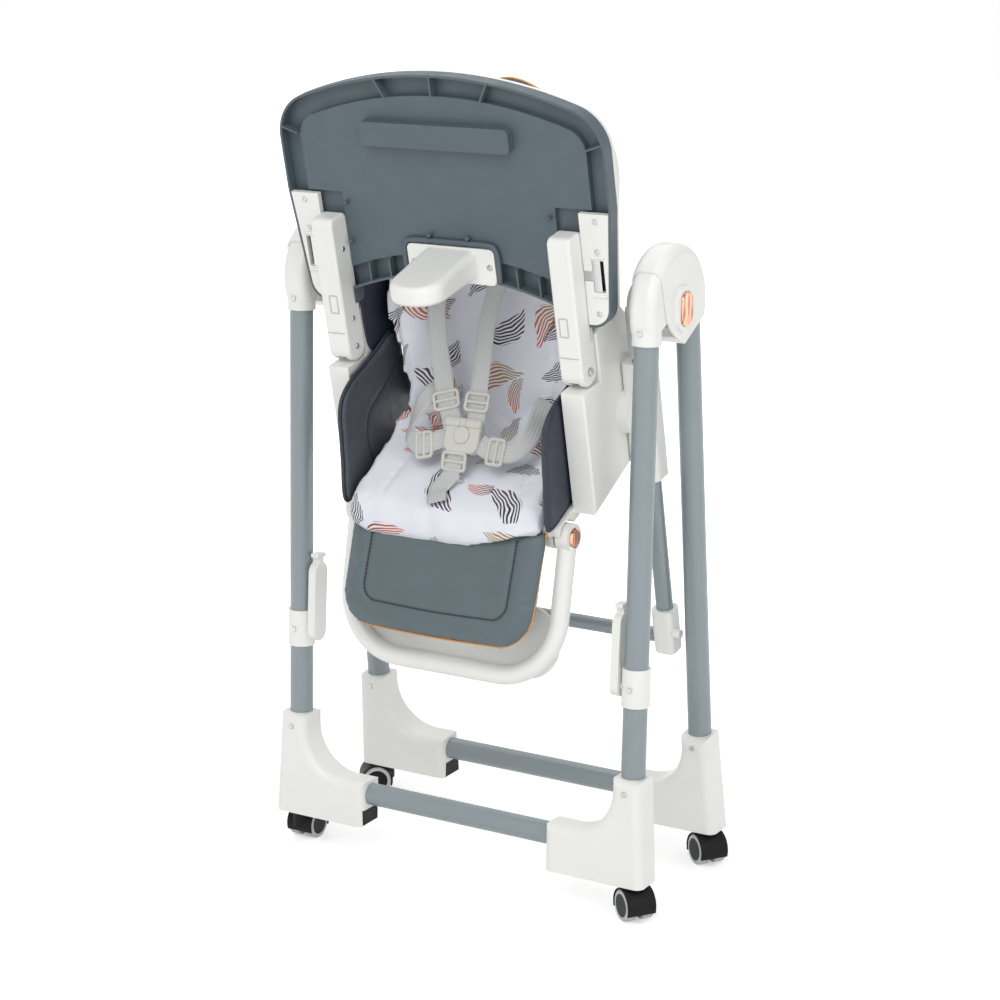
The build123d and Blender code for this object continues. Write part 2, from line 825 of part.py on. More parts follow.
with BuildPart() as backrest_shell:
    shell_mid = (back_start + back_length) / 2
    shell_back_face = back_front(back_setback + back_thickness)
    shell_height = back_length - back_start
    add(block(shell_back_face, 2 * back_half, shell_height, back_thickness, (0, shell_mid), back_corner))
    fillet(backrest_shell.faces().sort_by(Axis.Y)[-1].edges(), 8)
    add(
        block(
            back_front(back_setback + back_thickness - 4),
            2 * back_half - 18,
            shell_height - 18,
            back_thickness,
            (0, shell_mid),
            back_corner - 9,
        ),
        mode=Mode.SUBTRACT,
    )
    ear = [(-8, -8), (-8, 8), (back_setback + 4, 96), (back_setback + 4, 40)]
    for start in (back_half - 6, -back_half):
        add(slab(back_side(start), ear, 6))
    for start in (back_half - 4, -back_half - 16):
        add(rod(back_side(start), recline_pin_r, 20))
save(backrest_shell, "backrest_shell")

with BuildPart() as backrest_liner:
    liner_mid = (14 + back_length - 16) / 2
    liner_face = back_setback - soft_gap
    liner_height = back_length - 30
    add(block(back_front(liner_face), 2 * liner_half, liner_height, back_liner_thickness, (0, liner_mid), 30))
save(backrest_liner, "backrest_liner")

with BuildPart() as recline_lever:
    lever_plane = back_front(back_setback + back_thickness + play + 12)
    add(block(lever_plane, lever_width, 34, 12, (0, back_length - 90), 12))
    fillet(recline_lever.faces().sort_by(Axis.Y)[-1].edges(), 4)
save(recline_lever, "recline_lever")

# Footrest, drawn along its own slope down from its pivot
def rest_front(depth):
    return facing(leaned(seat_point(0, rest_y, rest_z), rest_lean), depth)


with BuildPart() as footrest_frame:
    with BuildLine(rest_front(0)) as u_path:
        FilletPolyline(
            (-rest_half, 0),
            (-rest_half, -rest_length),
            (rest_half, -rest_length),
            (rest_half, 0),
            radius=rest_corner,
        )
    with BuildSketch(Plane(origin=u_path.line @ 0, z_dir=u_path.line % 0)):
        Circle(rest_r)
    sweep()
    plate_height = rest_length - rest_plate_top
    plate_at = (0, -(rest_length + rest_plate_top) / 2)
    add(block(rest_front(rest_plate_back), 2 * rest_half, plate_height, rest_plate, plate_at, 44))
    plate_front = rest_plate_back - rest_plate
    stand_at = (0, -rest_plate_top - stand_height / 2 - 6)
    add(block(rest_front(plate_front + 1), stand_width, stand_height, stand_reach + 1, stand_at, 8))
    for start in (rest_half - rest_hub_width / 2, -rest_half - rest_hub_width / 2):
        add(rod(seat_side(start), rest_hub_r, rest_hub_width, (rest_y, rest_z)))
    pivot_bore = rod(seat_side(-2 * rest_half), rest_pin_r + running_fit, 4 * rest_half, (rest_y, rest_z))
    add(pivot_bore, mode=Mode.SUBTRACT)
    for plane in (seat_side(cap_room), seat_side(-cap_room - 20)):
        add(rod(plane, cap_r + play, 20, (rest_y, rest_z)), mode=Mode.SUBTRACT)
save(footrest_frame, "footrest_frame")

with BuildPart() as leg_pad:
    pad_mid = (0, -(pad_start + pad_end) / 2)
    pad_back = rest_front(plate_front - stand_reach - soft_gap)
    add(block(pad_back, 2 * pad_half, pad_end - pad_start, pad_thickness, pad_mid, pad_corner))
save(leg_pad, "leg_pad")

with BuildPart() as footrest_button:
    cap_start = rest_half + rest_hub_width / 2 - 2
    add(rod(seat_side(cap_start), cap_r, 5, (rest_y, rest_z)))
    chamfer(footrest_button.faces().sort_by(Axis.X)[-1].edges(), 2)
save_sides(footrest_button.part, "footrest_button")

# Tray arms and their pivot pins
with BuildPart() as tray_arm:
    add(block(seat_side(arm_in_x), 2 * arm_r, arm_top - arm_z, arm_width, (arm_y, (arm_z + arm_top) / 2)))
    add(rod(seat_side(arm_in_x), arm_r, arm_width, (arm_y, arm_z)))
    front_top = tray_arm.edges().filter_by(Axis.X).sort_by(Axis.Z)[-2:]
    fillet(front_top, 9)
    rims = tray_arm.faces().filter_by(Axis.X).edges()
    fillet(rims, arm_round)
    slot_start = seat_side(arm_mid_x - lug_width / 2 - play)
    slot_width = lug_width + 2 * play
    slot_r = lug_r + 0.7
    add(rod(slot_start, slot_r, slot_width, (arm_y, arm_z)), mode=Mode.SUBTRACT)
    slot_far = arm_r + 2
    open_back = [
        (arm_y - slot_r, arm_z - slot_far),
        (arm_y - slot_r, arm_z),
        (arm_y, arm_z + slot_r),
        (arm_y + slot_far, arm_z + slot_r),
        (arm_y + slot_far, arm_z - slot_far),
    ]
    add(slab(slot_start, open_back, slot_width), mode=Mode.SUBTRACT)
    add(rod(seat_side(0), arm_pin_r, 2 * arm_mid_x, (arm_y, arm_z)), mode=Mode.SUBTRACT)
    arm_out_x = arm_in_x + arm_width
    groove = seat_side(arm_out_x - groove_depth)
    groove_mid = (groove_y, (groove_low + arm_top + 20) / 2)
    groove_length = arm_top + 20 - groove_low
    add(block(groove, groove_width, groove_length, groove_depth + 1, groove_mid), mode=Mode.SUBTRACT)
save_sides(tray_arm.part, "tray_arm")

with BuildPart() as arm_pin:
    add(rod(seat_side(arm_in_x), arm_pin_r, arm_width, (arm_y, arm_z)))
    add(rod(seat_side(arm_out_x), arm_pin_r + 1.6, 1.6, (arm_y, arm_z)))
save_pair(arm_pin.part, "arm_pins")


def tray_outline(inset):
    """Outline of the tray in X and z: bowed top edge, tapered sides, belly cut-out below."""
    with BuildSketch() as outline:
        with BuildLine():
            ThreePointArc((-tray_half, tray_shoulder), (0, tray_top), (tray_half, tray_shoulder))
            Polyline(
                (tray_half, tray_shoulder),
                (tray_half, tray_waist),
                (tray_low_half, tray_low),
                (belly_half, tray_low),
                (belly_half, belly_end),
            )
            ThreePointArc((belly_half, belly_end), (0, belly_peak), (-belly_half, belly_end))
            Polyline(
                (-belly_half, belly_end),
                (-belly_half, tray_low),
                (-tray_low_half, tray_low),
                (-tray_half, tray_waist),
                (-tray_half, tray_shoulder),
            )
        make_face()
        fillet(outline.vertices().group_by(Axis.Y)[-1], 58)
        fillet(outline.vertices().group_by(Axis.Y)[0].sort_by(Axis.X)[0], 26)
        fillet(outline.vertices().group_by(Axis.Y)[0].sort_by(Axis.X)[-1], 26)
        if inset > 0:
            offset(amount=-inset, kind=Kind.INTERSECTION, mode=Mode.REPLACE)
    return outline.sketch


rib_angles = (20, 62, 90, 118, 160)
tray_back = tray_front + tray_depth
with BuildPart() as tray_body:
    with BuildSketch(seat_front(tray_back)):
        add(tray_outline(0))
    extrude(amount=tray_depth)
    fillet(tray_body.faces().sort_by(seat_back_axis)[-1].edges().filter_by(lambda e: e.length > 60), 4)
    with BuildSketch(seat_front(tray_front)):
        add(tray_outline(tray_rim))
        add(tray_outline(tray_rim + gutter_width), mode=Mode.SUBTRACT)
        for angle in rib_angles:
            reach = 2 * tray_half
            with Locations((0, tray_waist)):
                with PolarLocations(reach / 2, 1, start_angle=angle):
                    Rectangle(reach, rib, mode=Mode.SUBTRACT)
        for x in (-120, -90, 90, 120):
            with Locations((x, belly_end)):
                Rectangle(rib, 120, mode=Mode.SUBTRACT)
    extrude(amount=-gutter_depth, mode=Mode.SUBTRACT)
    with BuildSketch(seat_front(tray_front)):
        add(tray_outline(tray_rim + gutter_width - 1))
    extrude(amount=-island_drop, mode=Mode.SUBTRACT)
    with BuildSketch(seat_front(tray_back)):
        add(tray_outline(tray_rim + gutter_width + 3))
        for side in (1, -1):
            with Locations((side * (arm_in_x + 92), channel_top - 394)):
                Rectangle(200, 800, mode=Mode.SUBTRACT)
    extrude(amount=tray_depth - island_drop - tray_floor, mode=Mode.SUBTRACT)
    island = seat_front(tray_front + island_drop)
    add(block(island, block_width, block_height, block_proud, (0, block_z), 7))
    channel_width = arm_width + 2.6
    for side in (1, -1):
        channel_height = channel_top - tray_low + 20
        channel_at = (side * arm_mid_x, channel_top - channel_height / 2)
        channel = block(seat_front(tray_front), channel_width, channel_height, -channel_depth, channel_at)
        add(channel, mode=Mode.SUBTRACT)
    with BuildSketch(seat_front(tray_front)):
        add(tray_outline(tray_rim))
        with Locations((0, channel_top + 400)):
            Rectangle(3 * tray_half, 800, mode=Mode.SUBTRACT)
        Rectangle(2 * arm_mid_x, 3 * tray_half, mode=Mode.SUBTRACT)
    extrude(amount=-channel_depth, mode=Mode.SUBTRACT)
    post_mid = (post_low + post_high) / 2
    post_height = post_high - post_low
    post_at = (0, post_mid)
    post_seat = block(seat_front(tray_front), post_width + 2, post_height + 2, -post_plate, post_at, 8)
    add(post_seat, mode=Mode.SUBTRACT)
save(tray_body, "tray_body")

rail_in_x = arm_out_x + 1.0
with BuildPart() as tray_rail:
    with BuildSketch(seat_front(tray_front + rail_thickness)):
        add(tray_outline(tray_rim + play))
        with Locations((0, rail_top + 400)):
            Rectangle(3 * tray_half, 800, mode=Mode.SUBTRACT)
        with Locations((rail_in_x - 500, 0)):
            Rectangle(1000, 3 * tray_half, mode=Mode.SUBTRACT)
        with Locations((rail_in_x + window_inset + window_width / 2, window_z)):
            Rectangle(window_width, window_height, mode=Mode.SUBTRACT)
    extrude(amount=rail_thickness)
    lip_plane = seat_side(arm_out_x - groove_depth + play + 0.2)
    lip_reach = rail_in_x - arm_out_x + groove_depth - play
    lip_width = groove_width - 2 * play
    for low, high in ((6, window_z - 12), (window_z + 12, arm_top - 4)):
        add(block(lip_plane, lip_width, high - low, lip_reach, (groove_y, (low + high) / 2)))
    catch_slot = seat_side(arm_out_x - 10)
    add(
        block(catch_slot, 2 * rail_thickness + 4, 13, 28, (tray_front + rail_thickness / 2, window_z)),
        mode=Mode.SUBTRACT,
    )
save_pair(tray_rail.part, "tray_rails")

with BuildPart() as tray_catch:
    catch_mid = rail_in_x + window_inset + play
    catch_plane = seat_side(catch_mid)
    catch_width = window_width - catch_travel - 2 * play
    add(block(catch_plane, lip_width, window_height - 2 * play, catch_width, (groove_y, window_z)))
    tooth_x = arm_out_x - groove_depth + play + 1
    add(block(seat_side(tooth_x), lip_width, 12, catch_mid - tooth_x + 1, (groove_y, window_z)))
save_sides(tray_catch.part, "tray_catch")

with BuildPart() as tongue_body:
    with BuildSketch(seat_level(tongue_low)) as tongue:
        with Locations((0, (tray_front + tongue_tip) / 2 + 1)):
            Rectangle(2 * tongue_half, tray_front - tongue_tip + 2)
        fillet(tongue.vertices().group_by(Axis.Y)[0], tongue_half - 4)
    extrude(amount=tongue_root_top - tongue_low)
    ramp = (
        (tray_front + 2, tongue_low),
        (tray_front + 2, tongue_root_top),
        (tongue_tip - 2, tongue_tip_top),
        (tongue_tip - 2, tongue_low),
    )
    add(slab(seat_side(-2 * tongue_half), ramp, 4 * tongue_half), mode=Mode.INTERSECT)
    layers = tongue_body.faces().sort_by(seat_up_axis)
    for layer, edge_round in ((layers[-1], tongue_round), (layers[0], tongue_round - 3)):
        fillet(layer.edges().sort_by(seat_back_axis)[:-1], edge_round)
with BuildPart() as crotch_post:
    plate_plane = seat_front(tray_front + post_plate)
    add(block(plate_plane, post_width, post_height, post_plate, post_at, 7))
    add(tongue_body.part)
    for side in (1, -1):
        screw_at = (side * post_screw_x, post_screw_z)
        add(rod(seat_front(tray_front), screw_r + play, -screw_head, screw_at), mode=Mode.SUBTRACT)
save(crotch_post, "crotch_post")

with BuildPart() as top_tray:
    top_front = seat_front(tray_back + soft_gap)
    with BuildSketch(top_front):
        add(tray_outline(1.5))
    extrude(amount=-top_tray_depth)
    with BuildSketch(seat_front(tray_back + soft_gap + top_tray_depth)):
        add(tray_outline(1.5 + top_tray_rim))
    extrude(amount=top_tray_depth - top_tray_floor, mode=Mode.SUBTRACT)
save(top_tray, "top_tray")

# Harness
buckle_plane = leaned(seat_point(0, buckle_y, buckle_z), buckle_tilt)


def buckle_front(depth):
    return facing(buckle_plane, depth)


with BuildPart() as harness_buckle:
    add(block(buckle_front(buckle_depth / 2), buckle_width, buckle_height, buckle_depth, (0, 0), 12))
    broad_faces = harness_buckle.faces().filter_by(Plane(buckle_plane.origin, z_dir=buckle_plane.x_dir))
    fillet(broad_faces.edges(), 3)
    well_depth = buckle_travel + 4
    add(rod(buckle_front(-buckle_depth / 2), buckle_button_r + play, -well_depth), mode=Mode.SUBTRACT)
save(harness_buckle, "harness_buckle")

with BuildPart() as buckle_button:
    add(rod(buckle_front(-buckle_depth / 2 + 3.6), buckle_button_r, 5))
    fillet(buckle_button.faces().sort_by(Axis.Y)[0].edges(), 1.2)
save(buckle_button, "buckle_button")

with BuildPart() as lap_straps:
    waist_at = (buckle_y + 7.2, buckle_z + 6)
    waist_end = panel_in_x - soft_gap - wing_thickness - soft_gap
    waist_start = buckle_width / 2 + soft_gap
    for start in (waist_start, -waist_end):
        add(block(seat_side(start), strap_thickness, strap_width, waist_end - waist_start, waist_at))
    crotch_low = shell_front_z + liner_thickness + 2
    crotch_top = buckle_z - buckle_height / 2
    crotch_height = crotch_top - 4 - crotch_low
    crotch_at = (buckle_y - 10.8, crotch_low + crotch_height / 2)
    add(block(seat_side(-strap_width / 2), strap_thickness, crotch_height, strap_width, crotch_at))
save(lap_straps, "lap_straps")

with BuildPart() as shoulder_straps:
    strap_foot = (buckle_y + 18, buckle_z + 40)
    back_slope = radians(back_lean)
    strap_depth = back_setback - back_liner_thickness - 2 * soft_gap
    strap_head = (
        recline_y + strap_depth * cos(back_slope) + strap_top * sin(back_slope),
        recline_z - strap_depth * sin(back_slope) + strap_top * cos(back_slope),
    )
    run_y = strap_head[0] - strap_foot[0]
    run_z = strap_head[1] - strap_foot[1]
    run = (run_y**2 + run_z**2) ** 0.5
    off_y = -run_z / run * strap_thickness
    off_z = run_y / run * strap_thickness
    strap_outline = [
        strap_foot,
        strap_head,
        (strap_head[0] + off_y, strap_head[1] + off_z),
        (strap_foot[0] + off_y, strap_foot[1] + off_z),
    ]
    for start in (strap_x - strap_width / 2, -strap_x - strap_width / 2):
        add(slab(seat_side(start), strap_outline, strap_width))
save(shoulder_straps, "shoulder_straps")
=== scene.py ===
"""Dresses the folded high chair: moulded finishes, padding, harness, trim and a pale studio."""

import json
from math import cos, pi, radians, sin

import bmesh
import bpy
import numpy as np
from bpy.props import FloatProperty, FloatVectorProperty, PointerProperty
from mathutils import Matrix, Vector
from mathutils.bvhtree import BVHTree


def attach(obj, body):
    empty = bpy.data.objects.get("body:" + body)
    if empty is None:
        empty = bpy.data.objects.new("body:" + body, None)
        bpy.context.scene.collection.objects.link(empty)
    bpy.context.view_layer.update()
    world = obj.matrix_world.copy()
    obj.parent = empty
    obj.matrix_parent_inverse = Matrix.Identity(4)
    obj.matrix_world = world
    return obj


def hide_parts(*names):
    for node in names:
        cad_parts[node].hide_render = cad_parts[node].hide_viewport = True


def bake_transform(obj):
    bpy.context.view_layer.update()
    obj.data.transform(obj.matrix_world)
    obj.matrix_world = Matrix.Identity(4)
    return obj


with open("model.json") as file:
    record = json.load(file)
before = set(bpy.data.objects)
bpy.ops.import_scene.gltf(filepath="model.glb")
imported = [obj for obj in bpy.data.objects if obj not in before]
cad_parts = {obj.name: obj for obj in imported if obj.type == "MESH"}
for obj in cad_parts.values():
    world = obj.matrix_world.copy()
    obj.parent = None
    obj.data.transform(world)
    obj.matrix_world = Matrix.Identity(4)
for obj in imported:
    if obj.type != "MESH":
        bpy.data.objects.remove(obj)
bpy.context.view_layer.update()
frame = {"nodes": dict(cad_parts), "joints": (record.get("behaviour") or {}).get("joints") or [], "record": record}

bl_info = {
    "name": "High chair dressing",
    "version": (1, 0, 0),
    "blender": (4, 5, 0),
    "location": "View3D > Sidebar > High chair",
    "description": "Dresses the high chair's solids with finishes, padding, harness and trim",
    "category": "Object",
}

MM = 0.001
JOINTS = {joint["name"]: joint for joint in frame["joints"]}
ACROSS = Vector((1, 0, 0))
SIDES = ((1, "left"), (-1, "right"))

# The seat's own axes: back and up from the hub that the seat swings on.
HUB = Vector(JOINTS["seat_swing"]["pos_m"])
SEAT_UP = Vector(JOINTS["seat_height"]["axis"]).normalized()
SEAT_BACK = SEAT_UP.cross(ACROSS)

# The backrest's axes from its hinge, and the footrest's from its pivot.
RECLINE = Vector(JOINTS["backrest_recline"]["pos_m"])
BACK_UP = Vector(JOINTS["recline_lever_pull"]["axis"]).normalized()
BACK_DEPTH = BACK_UP.cross(ACROSS)
REST = Vector(JOINTS["footrest_tilt"]["pos_m"])
REST_LEAN = radians(24)
REST_DOWN = -(SEAT_UP * cos(REST_LEAN) + SEAT_BACK * sin(REST_LEAN))
REST_DEPTH = SEAT_BACK * cos(REST_LEAN) - SEAT_UP * sin(REST_LEAN)


def seat_point(x, back, up):
    """Point from millimetres on the seat's axes."""
    return HUB + (ACROSS * x + SEAT_BACK * back + SEAT_UP * up) * MM


def back_point(x, depth, up):
    """Point from millimetres on the backrest's axes."""
    return RECLINE + (ACROSS * x + BACK_DEPTH * depth + BACK_UP * up) * MM


def rest_point(x, depth, down):
    """Point from millimetres on the footrest's axes."""
    return REST + (ACROSS * x + REST_DEPTH * depth + REST_DOWN * down) * MM


def srgb(red, green, blue):
    """Scene colour of an 8-bit display colour."""
    return tuple(((c / 255 + 0.055) / 1.055) ** 2.4 if c > 10 else c / 3295 for c in (red, green, blue))


def colour_prop(name, description, display):
    """Colour setting with its default given as a display colour."""
    return FloatVectorProperty(
        name=name, description=description, subtype="COLOR", size=3, min=0, max=1, default=srgb(*display)
    )


def length_prop(name, description, millimetres):
    """Length setting with its default given in millimetres."""
    return FloatProperty(
        name=name, description=description, unit="LENGTH", subtype="DISTANCE", min=0, default=millimetres * MM
    )


def point_prop(name, description, place):
    """Place setting in metres."""
    return FloatVectorProperty(name=name, description=description, subtype="TRANSLATION", default=place)


def power_prop(name, description, watts):
    """Lamp power setting."""
    return FloatProperty(name=name, description=description, subtype="POWER", default=watts)


class ChairColours(bpy.types.PropertyGroup):
    """Colours of the chair's finishes."""

    tube: colour_prop("Tube", "Powder coat of the leg and footrest tubes", (139, 149, 153))
    white: colour_prop("White", "Moulded white plastic", (240, 240, 236))
    slate: colour_prop("Slate", "Moulded tray plastic", (81, 94, 102))
    light_grey: colour_prop("Light grey", "Moulded light grey plastic", (196, 199, 198))
    black: colour_prop("Black", "Casters and plugs", (15, 15, 17))
    tyre: colour_prop("Tyre", "Soft tread of the wheels", (198, 201, 204))
    steel: colour_prop("Steel", "Screws and axles", (190, 190, 190))
    rose_gold: colour_prop("Rose gold", "Metallised buttons", (222, 164, 138))
    cloth: colour_prop("Cloth", "Ground of the printed liner", (233, 236, 244))
    leather: colour_prop("Leather", "Imitation leather of the calf pad", (89, 102, 108))
    # The calf pad's leather darkened with painted shade, for the inner faces of the wings.
    wing: colour_prop("Wing", "Imitation leather inside the wings", (60, 66, 73))
    lining: colour_prop("Lining", "Outer lining of the wings", (35, 41, 56))
    piping: colour_prop("Piping", "Corded edge of the padding", (222, 158, 88))
    strap: colour_prop("Strap", "Harness webbing", (196, 198, 198))
    buckle: colour_prop("Buckle", "Harness buckle and adjusters", (203, 202, 194))


class ChairSizes(bpy.types.PropertyGroup):
    """Sizes of the soft pieces and the trim."""

    voxel: length_prop("Padding grid", "Spacing of the padding's mesh before it is filled", 5)
    swell: length_prop("Swell", "How far the filling may push the cloth out", 6)
    liner_edge: length_prop("Liner edge", "Thickness of the liner at its side edges", 18)
    calf_pad: length_prop("Calf pad", "Thickness of the calf pad", 19)
    webbing: length_prop("Webbing width", "Width of the harness webbing", 25)
    webbing_thickness: length_prop("Webbing thickness", "Thickness of the harness webbing", 1.8)
    piping: length_prop("Piping radius", "Radius of the corded edges", 1.5)
    motif: length_prop("Motif spacing", "Distance between the liner's printed leaves", 84)


class StageSettings(bpy.types.PropertyGroup):
    """Camera and light of the studio."""

    lens: FloatProperty(name="Lens", description="Focal length", subtype="DISTANCE_CAMERA", default=87.87)
    camera: point_prop("Camera", "Place of the camera", (1.5226, -2.5654, 1.2520))
    target: point_prop("Target", "Point the camera looks at", (0.0465, -0.03295, 0.5))
    key: power_prop("Key light", "Power of the main soft light", 42)
    fill: power_prop("Fill light", "Power of the filling lights", 17)
    sky: FloatProperty(name="Room light", description="Strength of the light from all round", default=0.57)


# Finishes


def new_finish(name):
    """Node material and its shader."""
    finish = bpy.data.materials.new(name)
    finish.use_nodes = True
    return finish, finish.node_tree, finish.node_tree.nodes["Principled BSDF"]


def set_inputs(tree, node, inputs):
    """Sets a node's inputs, or links those that are given as another node's output."""
    for key, value in inputs.items():
        if isinstance(value, bpy.types.NodeSocket):
            tree.links.new(value, node.inputs[key])
        else:
            node.inputs[key].default_value = value


def add_node(tree, kind, inputs=None, **settings):
    """Node with its settings and inputs."""
    node = tree.nodes.new(kind)
    for key, value in settings.items():
        setattr(node, key, value)
    set_inputs(tree, node, inputs or {})
    return node


def math_node(tree, operation, *values):
    """Result of one step of arithmetic."""
    return add_node(tree, "ShaderNodeMath", dict(enumerate(values)), operation=operation).outputs[0]


def vector_node(tree, operation, *values):
    """Vector result of one step of vector arithmetic."""
    node = add_node(tree, "ShaderNodeVectorMath", dict(enumerate(values)), operation=operation)
    return node.outputs["Vector"]


def scaled(tree, vector, factor):
    """Vector made longer or shorter."""
    inputs = {0: vector, "Scale": factor}
    return add_node(tree, "ShaderNodeVectorMath", inputs, operation="SCALE").outputs["Vector"]


def length_of(tree, vector):
    """Length of a vector."""
    return add_node(tree, "ShaderNodeVectorMath", {0: vector}, operation="LENGTH").outputs["Value"]


def mixed(tree, factor, first, second):
    """Colour between two others."""
    inputs = {"Factor": factor, 6: first, 7: second}
    return add_node(tree, "ShaderNodeMix", inputs, data_type="RGBA").outputs[2]


def ranged(tree, value, low, high, to_low=0.0, to_high=1.0):
    """Value moved from one range to another, held at its ends."""
    inputs = {"Value": value, "From Min": low, "From Max": high, "To Min": to_low, "To Max": to_high}
    return add_node(tree, "ShaderNodeMapRange", inputs).outputs[0]


def noise(tree, place, scale, detail=2.0):
    """Soft noise at a place."""
    inputs = {"Vector": place, "Scale": scale, "Detail": detail}
    return add_node(tree, "ShaderNodeTexNoise", inputs).outputs["Fac"]


def object_place(tree):
    """Place on the piece in metres."""
    return add_node(tree, "ShaderNodeTexCoord").outputs["Object"]


def cloth_place(tree):
    """Place on flat cloth in metres, across and along."""
    return add_node(tree, "ShaderNodeAttribute", attribute_name="cloth_place").outputs["Vector"]


def shade(colour, factor):
    """Colour made darker or lighter."""
    return tuple(min(1.0, c * factor) for c in colour[:3]) + (1.0,)


def toned(tree, factor, colour, dark, light):
    """Colour that drifts between a darker and a lighter shade of itself."""
    return mixed(tree, factor, shade(colour, dark), shade(colour, light))


def relief(tree, height, strength, distance):
    """Normals of a surface with this height on it."""
    inputs = {"Height": height, "Strength": strength, "Distance": distance}
    return add_node(tree, "ShaderNodeBump", inputs).outputs["Normal"]


def moulded(name, colour, roughness, grain, depth, metallic=0.0, coat=0.0, specular=0.5):
    """Moulded or coated finish: fine grain, slight flow marks and rubbed patches."""
    finish, tree, shader = new_finish(name)
    place = object_place(tree)
    flow = noise(tree, place, 9.0)
    rubbed = noise(tree, place, 46.0, 4.0)
    looks = {
        "Base Color": toned(tree, flow, colour, 0.94, 1.05),
        "Roughness": ranged(tree, rubbed, 0.3, 0.7, roughness - 0.05, roughness + 0.07),
        "Normal": relief(tree, noise(tree, place, grain, 3.0), depth, 0.0004),
        "Metallic": metallic,
        "Specular IOR Level": specular,
        "Coat Weight": coat,
        "Coat Roughness": 0.15,
    }
    set_inputs(tree, shader, looks)
    return finish


def metal_with_painted_reflections(name, colour):
    """Bright metallised plastic, its colour streaked light and dark along its length: painted reflections."""
    finish, tree, shader = new_finish(name)
    place = vector_node(tree, "MULTIPLY", object_place(tree), (1.0, 1.0, 0.22))
    painted_reflection = ranged(tree, noise(tree, place, 150.0, 1.0), 0.38, 0.62)
    looks = {
        # The light and dark streaks in the colour are painted reflections; the roughness follows them.
        "Base Color": toned(tree, painted_reflection, colour, 0.4, 1.3),
        "Roughness": ranged(tree, painted_reflection, 0.0, 1.0, 0.24, 0.14),
        "Normal": relief(tree, noise(tree, place, 60.0), 0.25, 0.002),
        "Metallic": 1.0,
    }
    set_inputs(tree, shader, looks)
    return finish


def wheel_finish(name, joint, hub_colour, tyre_colour):
    """Black wheel disc with a pale tread, told apart by the distance from the axle."""
    finish, tree, shader = new_finish(name)
    place = object_place(tree)
    axle = Vector(JOINTS[joint]["axis"]).normalized()
    from_axle = vector_node(tree, "SUBTRACT", place, tuple(JOINTS[joint]["pos_m"]))
    radial = vector_node(tree, "CROSS_PRODUCT", from_axle, tuple(axle))
    tread = ranged(tree, length_of(tree, radial), 0.0146, 0.0149)
    pale = toned(tree, noise(tree, place, 120.0, 4.0), tyre_colour, 0.88, 1.06)
    looks = {
        "Base Color": mixed(tree, tread, shade(hub_colour, 1.0), pale),
        "Roughness": ranged(tree, tread, 0.0, 1.0, 0.42, 0.6),
        "Normal": relief(tree, noise(tree, place, 1600.0, 3.0), 0.15, 0.0004),
        "Specular IOR Level": 0.2,
    }
    set_inputs(tree, shader, looks)
    return finish


def leather_finish(name, colour):
    """Imitation leather with a pebbled grain and faint creases."""
    finish, tree, shader = new_finish(name)
    place = object_place(tree)
    pebble = add_node(tree, "ShaderNodeTexVoronoi", {"Vector": place, "Scale": 620.0}, feature="SMOOTH_F1")
    crease = noise(tree, place, 90.0, 5.0)
    height = math_node(tree, "ADD", pebble.outputs["Distance"], crease)
    worn = noise(tree, place, 14.0, 3.0)
    looks = {
        "Base Color": toned(tree, worn, colour, 0.88, 1.12),
        "Roughness": ranged(tree, crease, 0.3, 0.7, 0.42, 0.58),
        "Normal": relief(tree, height, 0.28, 0.0007),
    }
    set_inputs(tree, shader, looks)
    return finish


def woven(tree, place, thread):
    """Height of a plain weave with threads this far apart, and the axes of the cloth."""
    scale = pi / thread
    axes = add_node(tree, "ShaderNodeSeparateXYZ", {0: place})
    warp = math_node(tree, "SINE", math_node(tree, "MULTIPLY", axes.outputs[0], scale))
    weft = math_node(tree, "SINE", math_node(tree, "MULTIPLY", axes.outputs[1], scale))
    return math_node(tree, "MULTIPLY", warp, weft), axes


def leaf_print(tree, place, motif, shift, density):
    """Scattered striped leaves: how much ink lies at a place on the cloth, and its colour."""

    def calc(operation, *values):
        return math_node(tree, operation, *values)

    cells = vector_node(tree, "ADD", scaled(tree, place, 1.0 / motif), shift)
    wander = add_node(tree, "ShaderNodeTexNoise", {"Vector": cells, "Scale": 2.6, "Detail": 1.0})
    centred = vector_node(tree, "SUBTRACT", wander.outputs["Color"], (0.5, 0.5, 0.5))
    brushed = vector_node(tree, "ADD", cells, scaled(tree, centred, 0.2))
    inputs = {"Vector": brushed, "Scale": 1.0, "Randomness": 0.5}
    cell = add_node(tree, "ShaderNodeTexVoronoi", inputs, voronoi_dimensions="2D")
    chance = add_node(tree, "ShaderNodeSeparateColor", {0: cell.outputs["Color"]})
    offset = vector_node(tree, "SUBTRACT", brushed, cell.outputs["Position"])
    inputs = {"Vector": offset, "Angle": calc("MULTIPLY", chance.outputs[0], 2 * pi)}
    turned = add_node(tree, "ShaderNodeVectorRotate", inputs, rotation_type="Z_AXIS")
    axes = add_node(tree, "ShaderNodeSeparateXYZ", {0: turned.outputs[0]})
    along = axes.outputs[0]
    bend = calc("MULTIPLY", calc("POWER", along, 2.0), 0.7)
    side = calc("SUBTRACT", axes.outputs[1], bend)
    reach = calc("SUBTRACT", 1.0, calc("POWER", calc("DIVIDE", along, 0.5), 2.0))
    half_width = calc("MULTIPLY", reach, 0.2)
    leaf = ranged(tree, calc("SUBTRACT", half_width, calc("ABSOLUTE", side)), 0.0, 0.012)
    veins = calc("ADD", calc("MULTIPLY", side, 112.0), calc("MULTIPLY", along, 22.0))
    stripes = ranged(tree, calc("SINE", veins), -0.12, 0.12)
    kept = calc("LESS_THAN", chance.outputs[2], density)
    ink = calc("MULTIPLY", calc("MULTIPLY", leaf, stripes), kept)
    fade = ranged(tree, along, -0.3, 0.32)
    ends = [leaf_ink(tree, chance.outputs[1], order) for order in ((0, 1, 2, 3), (2, 0, 3, 1))]
    return ink, mixed(tree, fade, *ends)


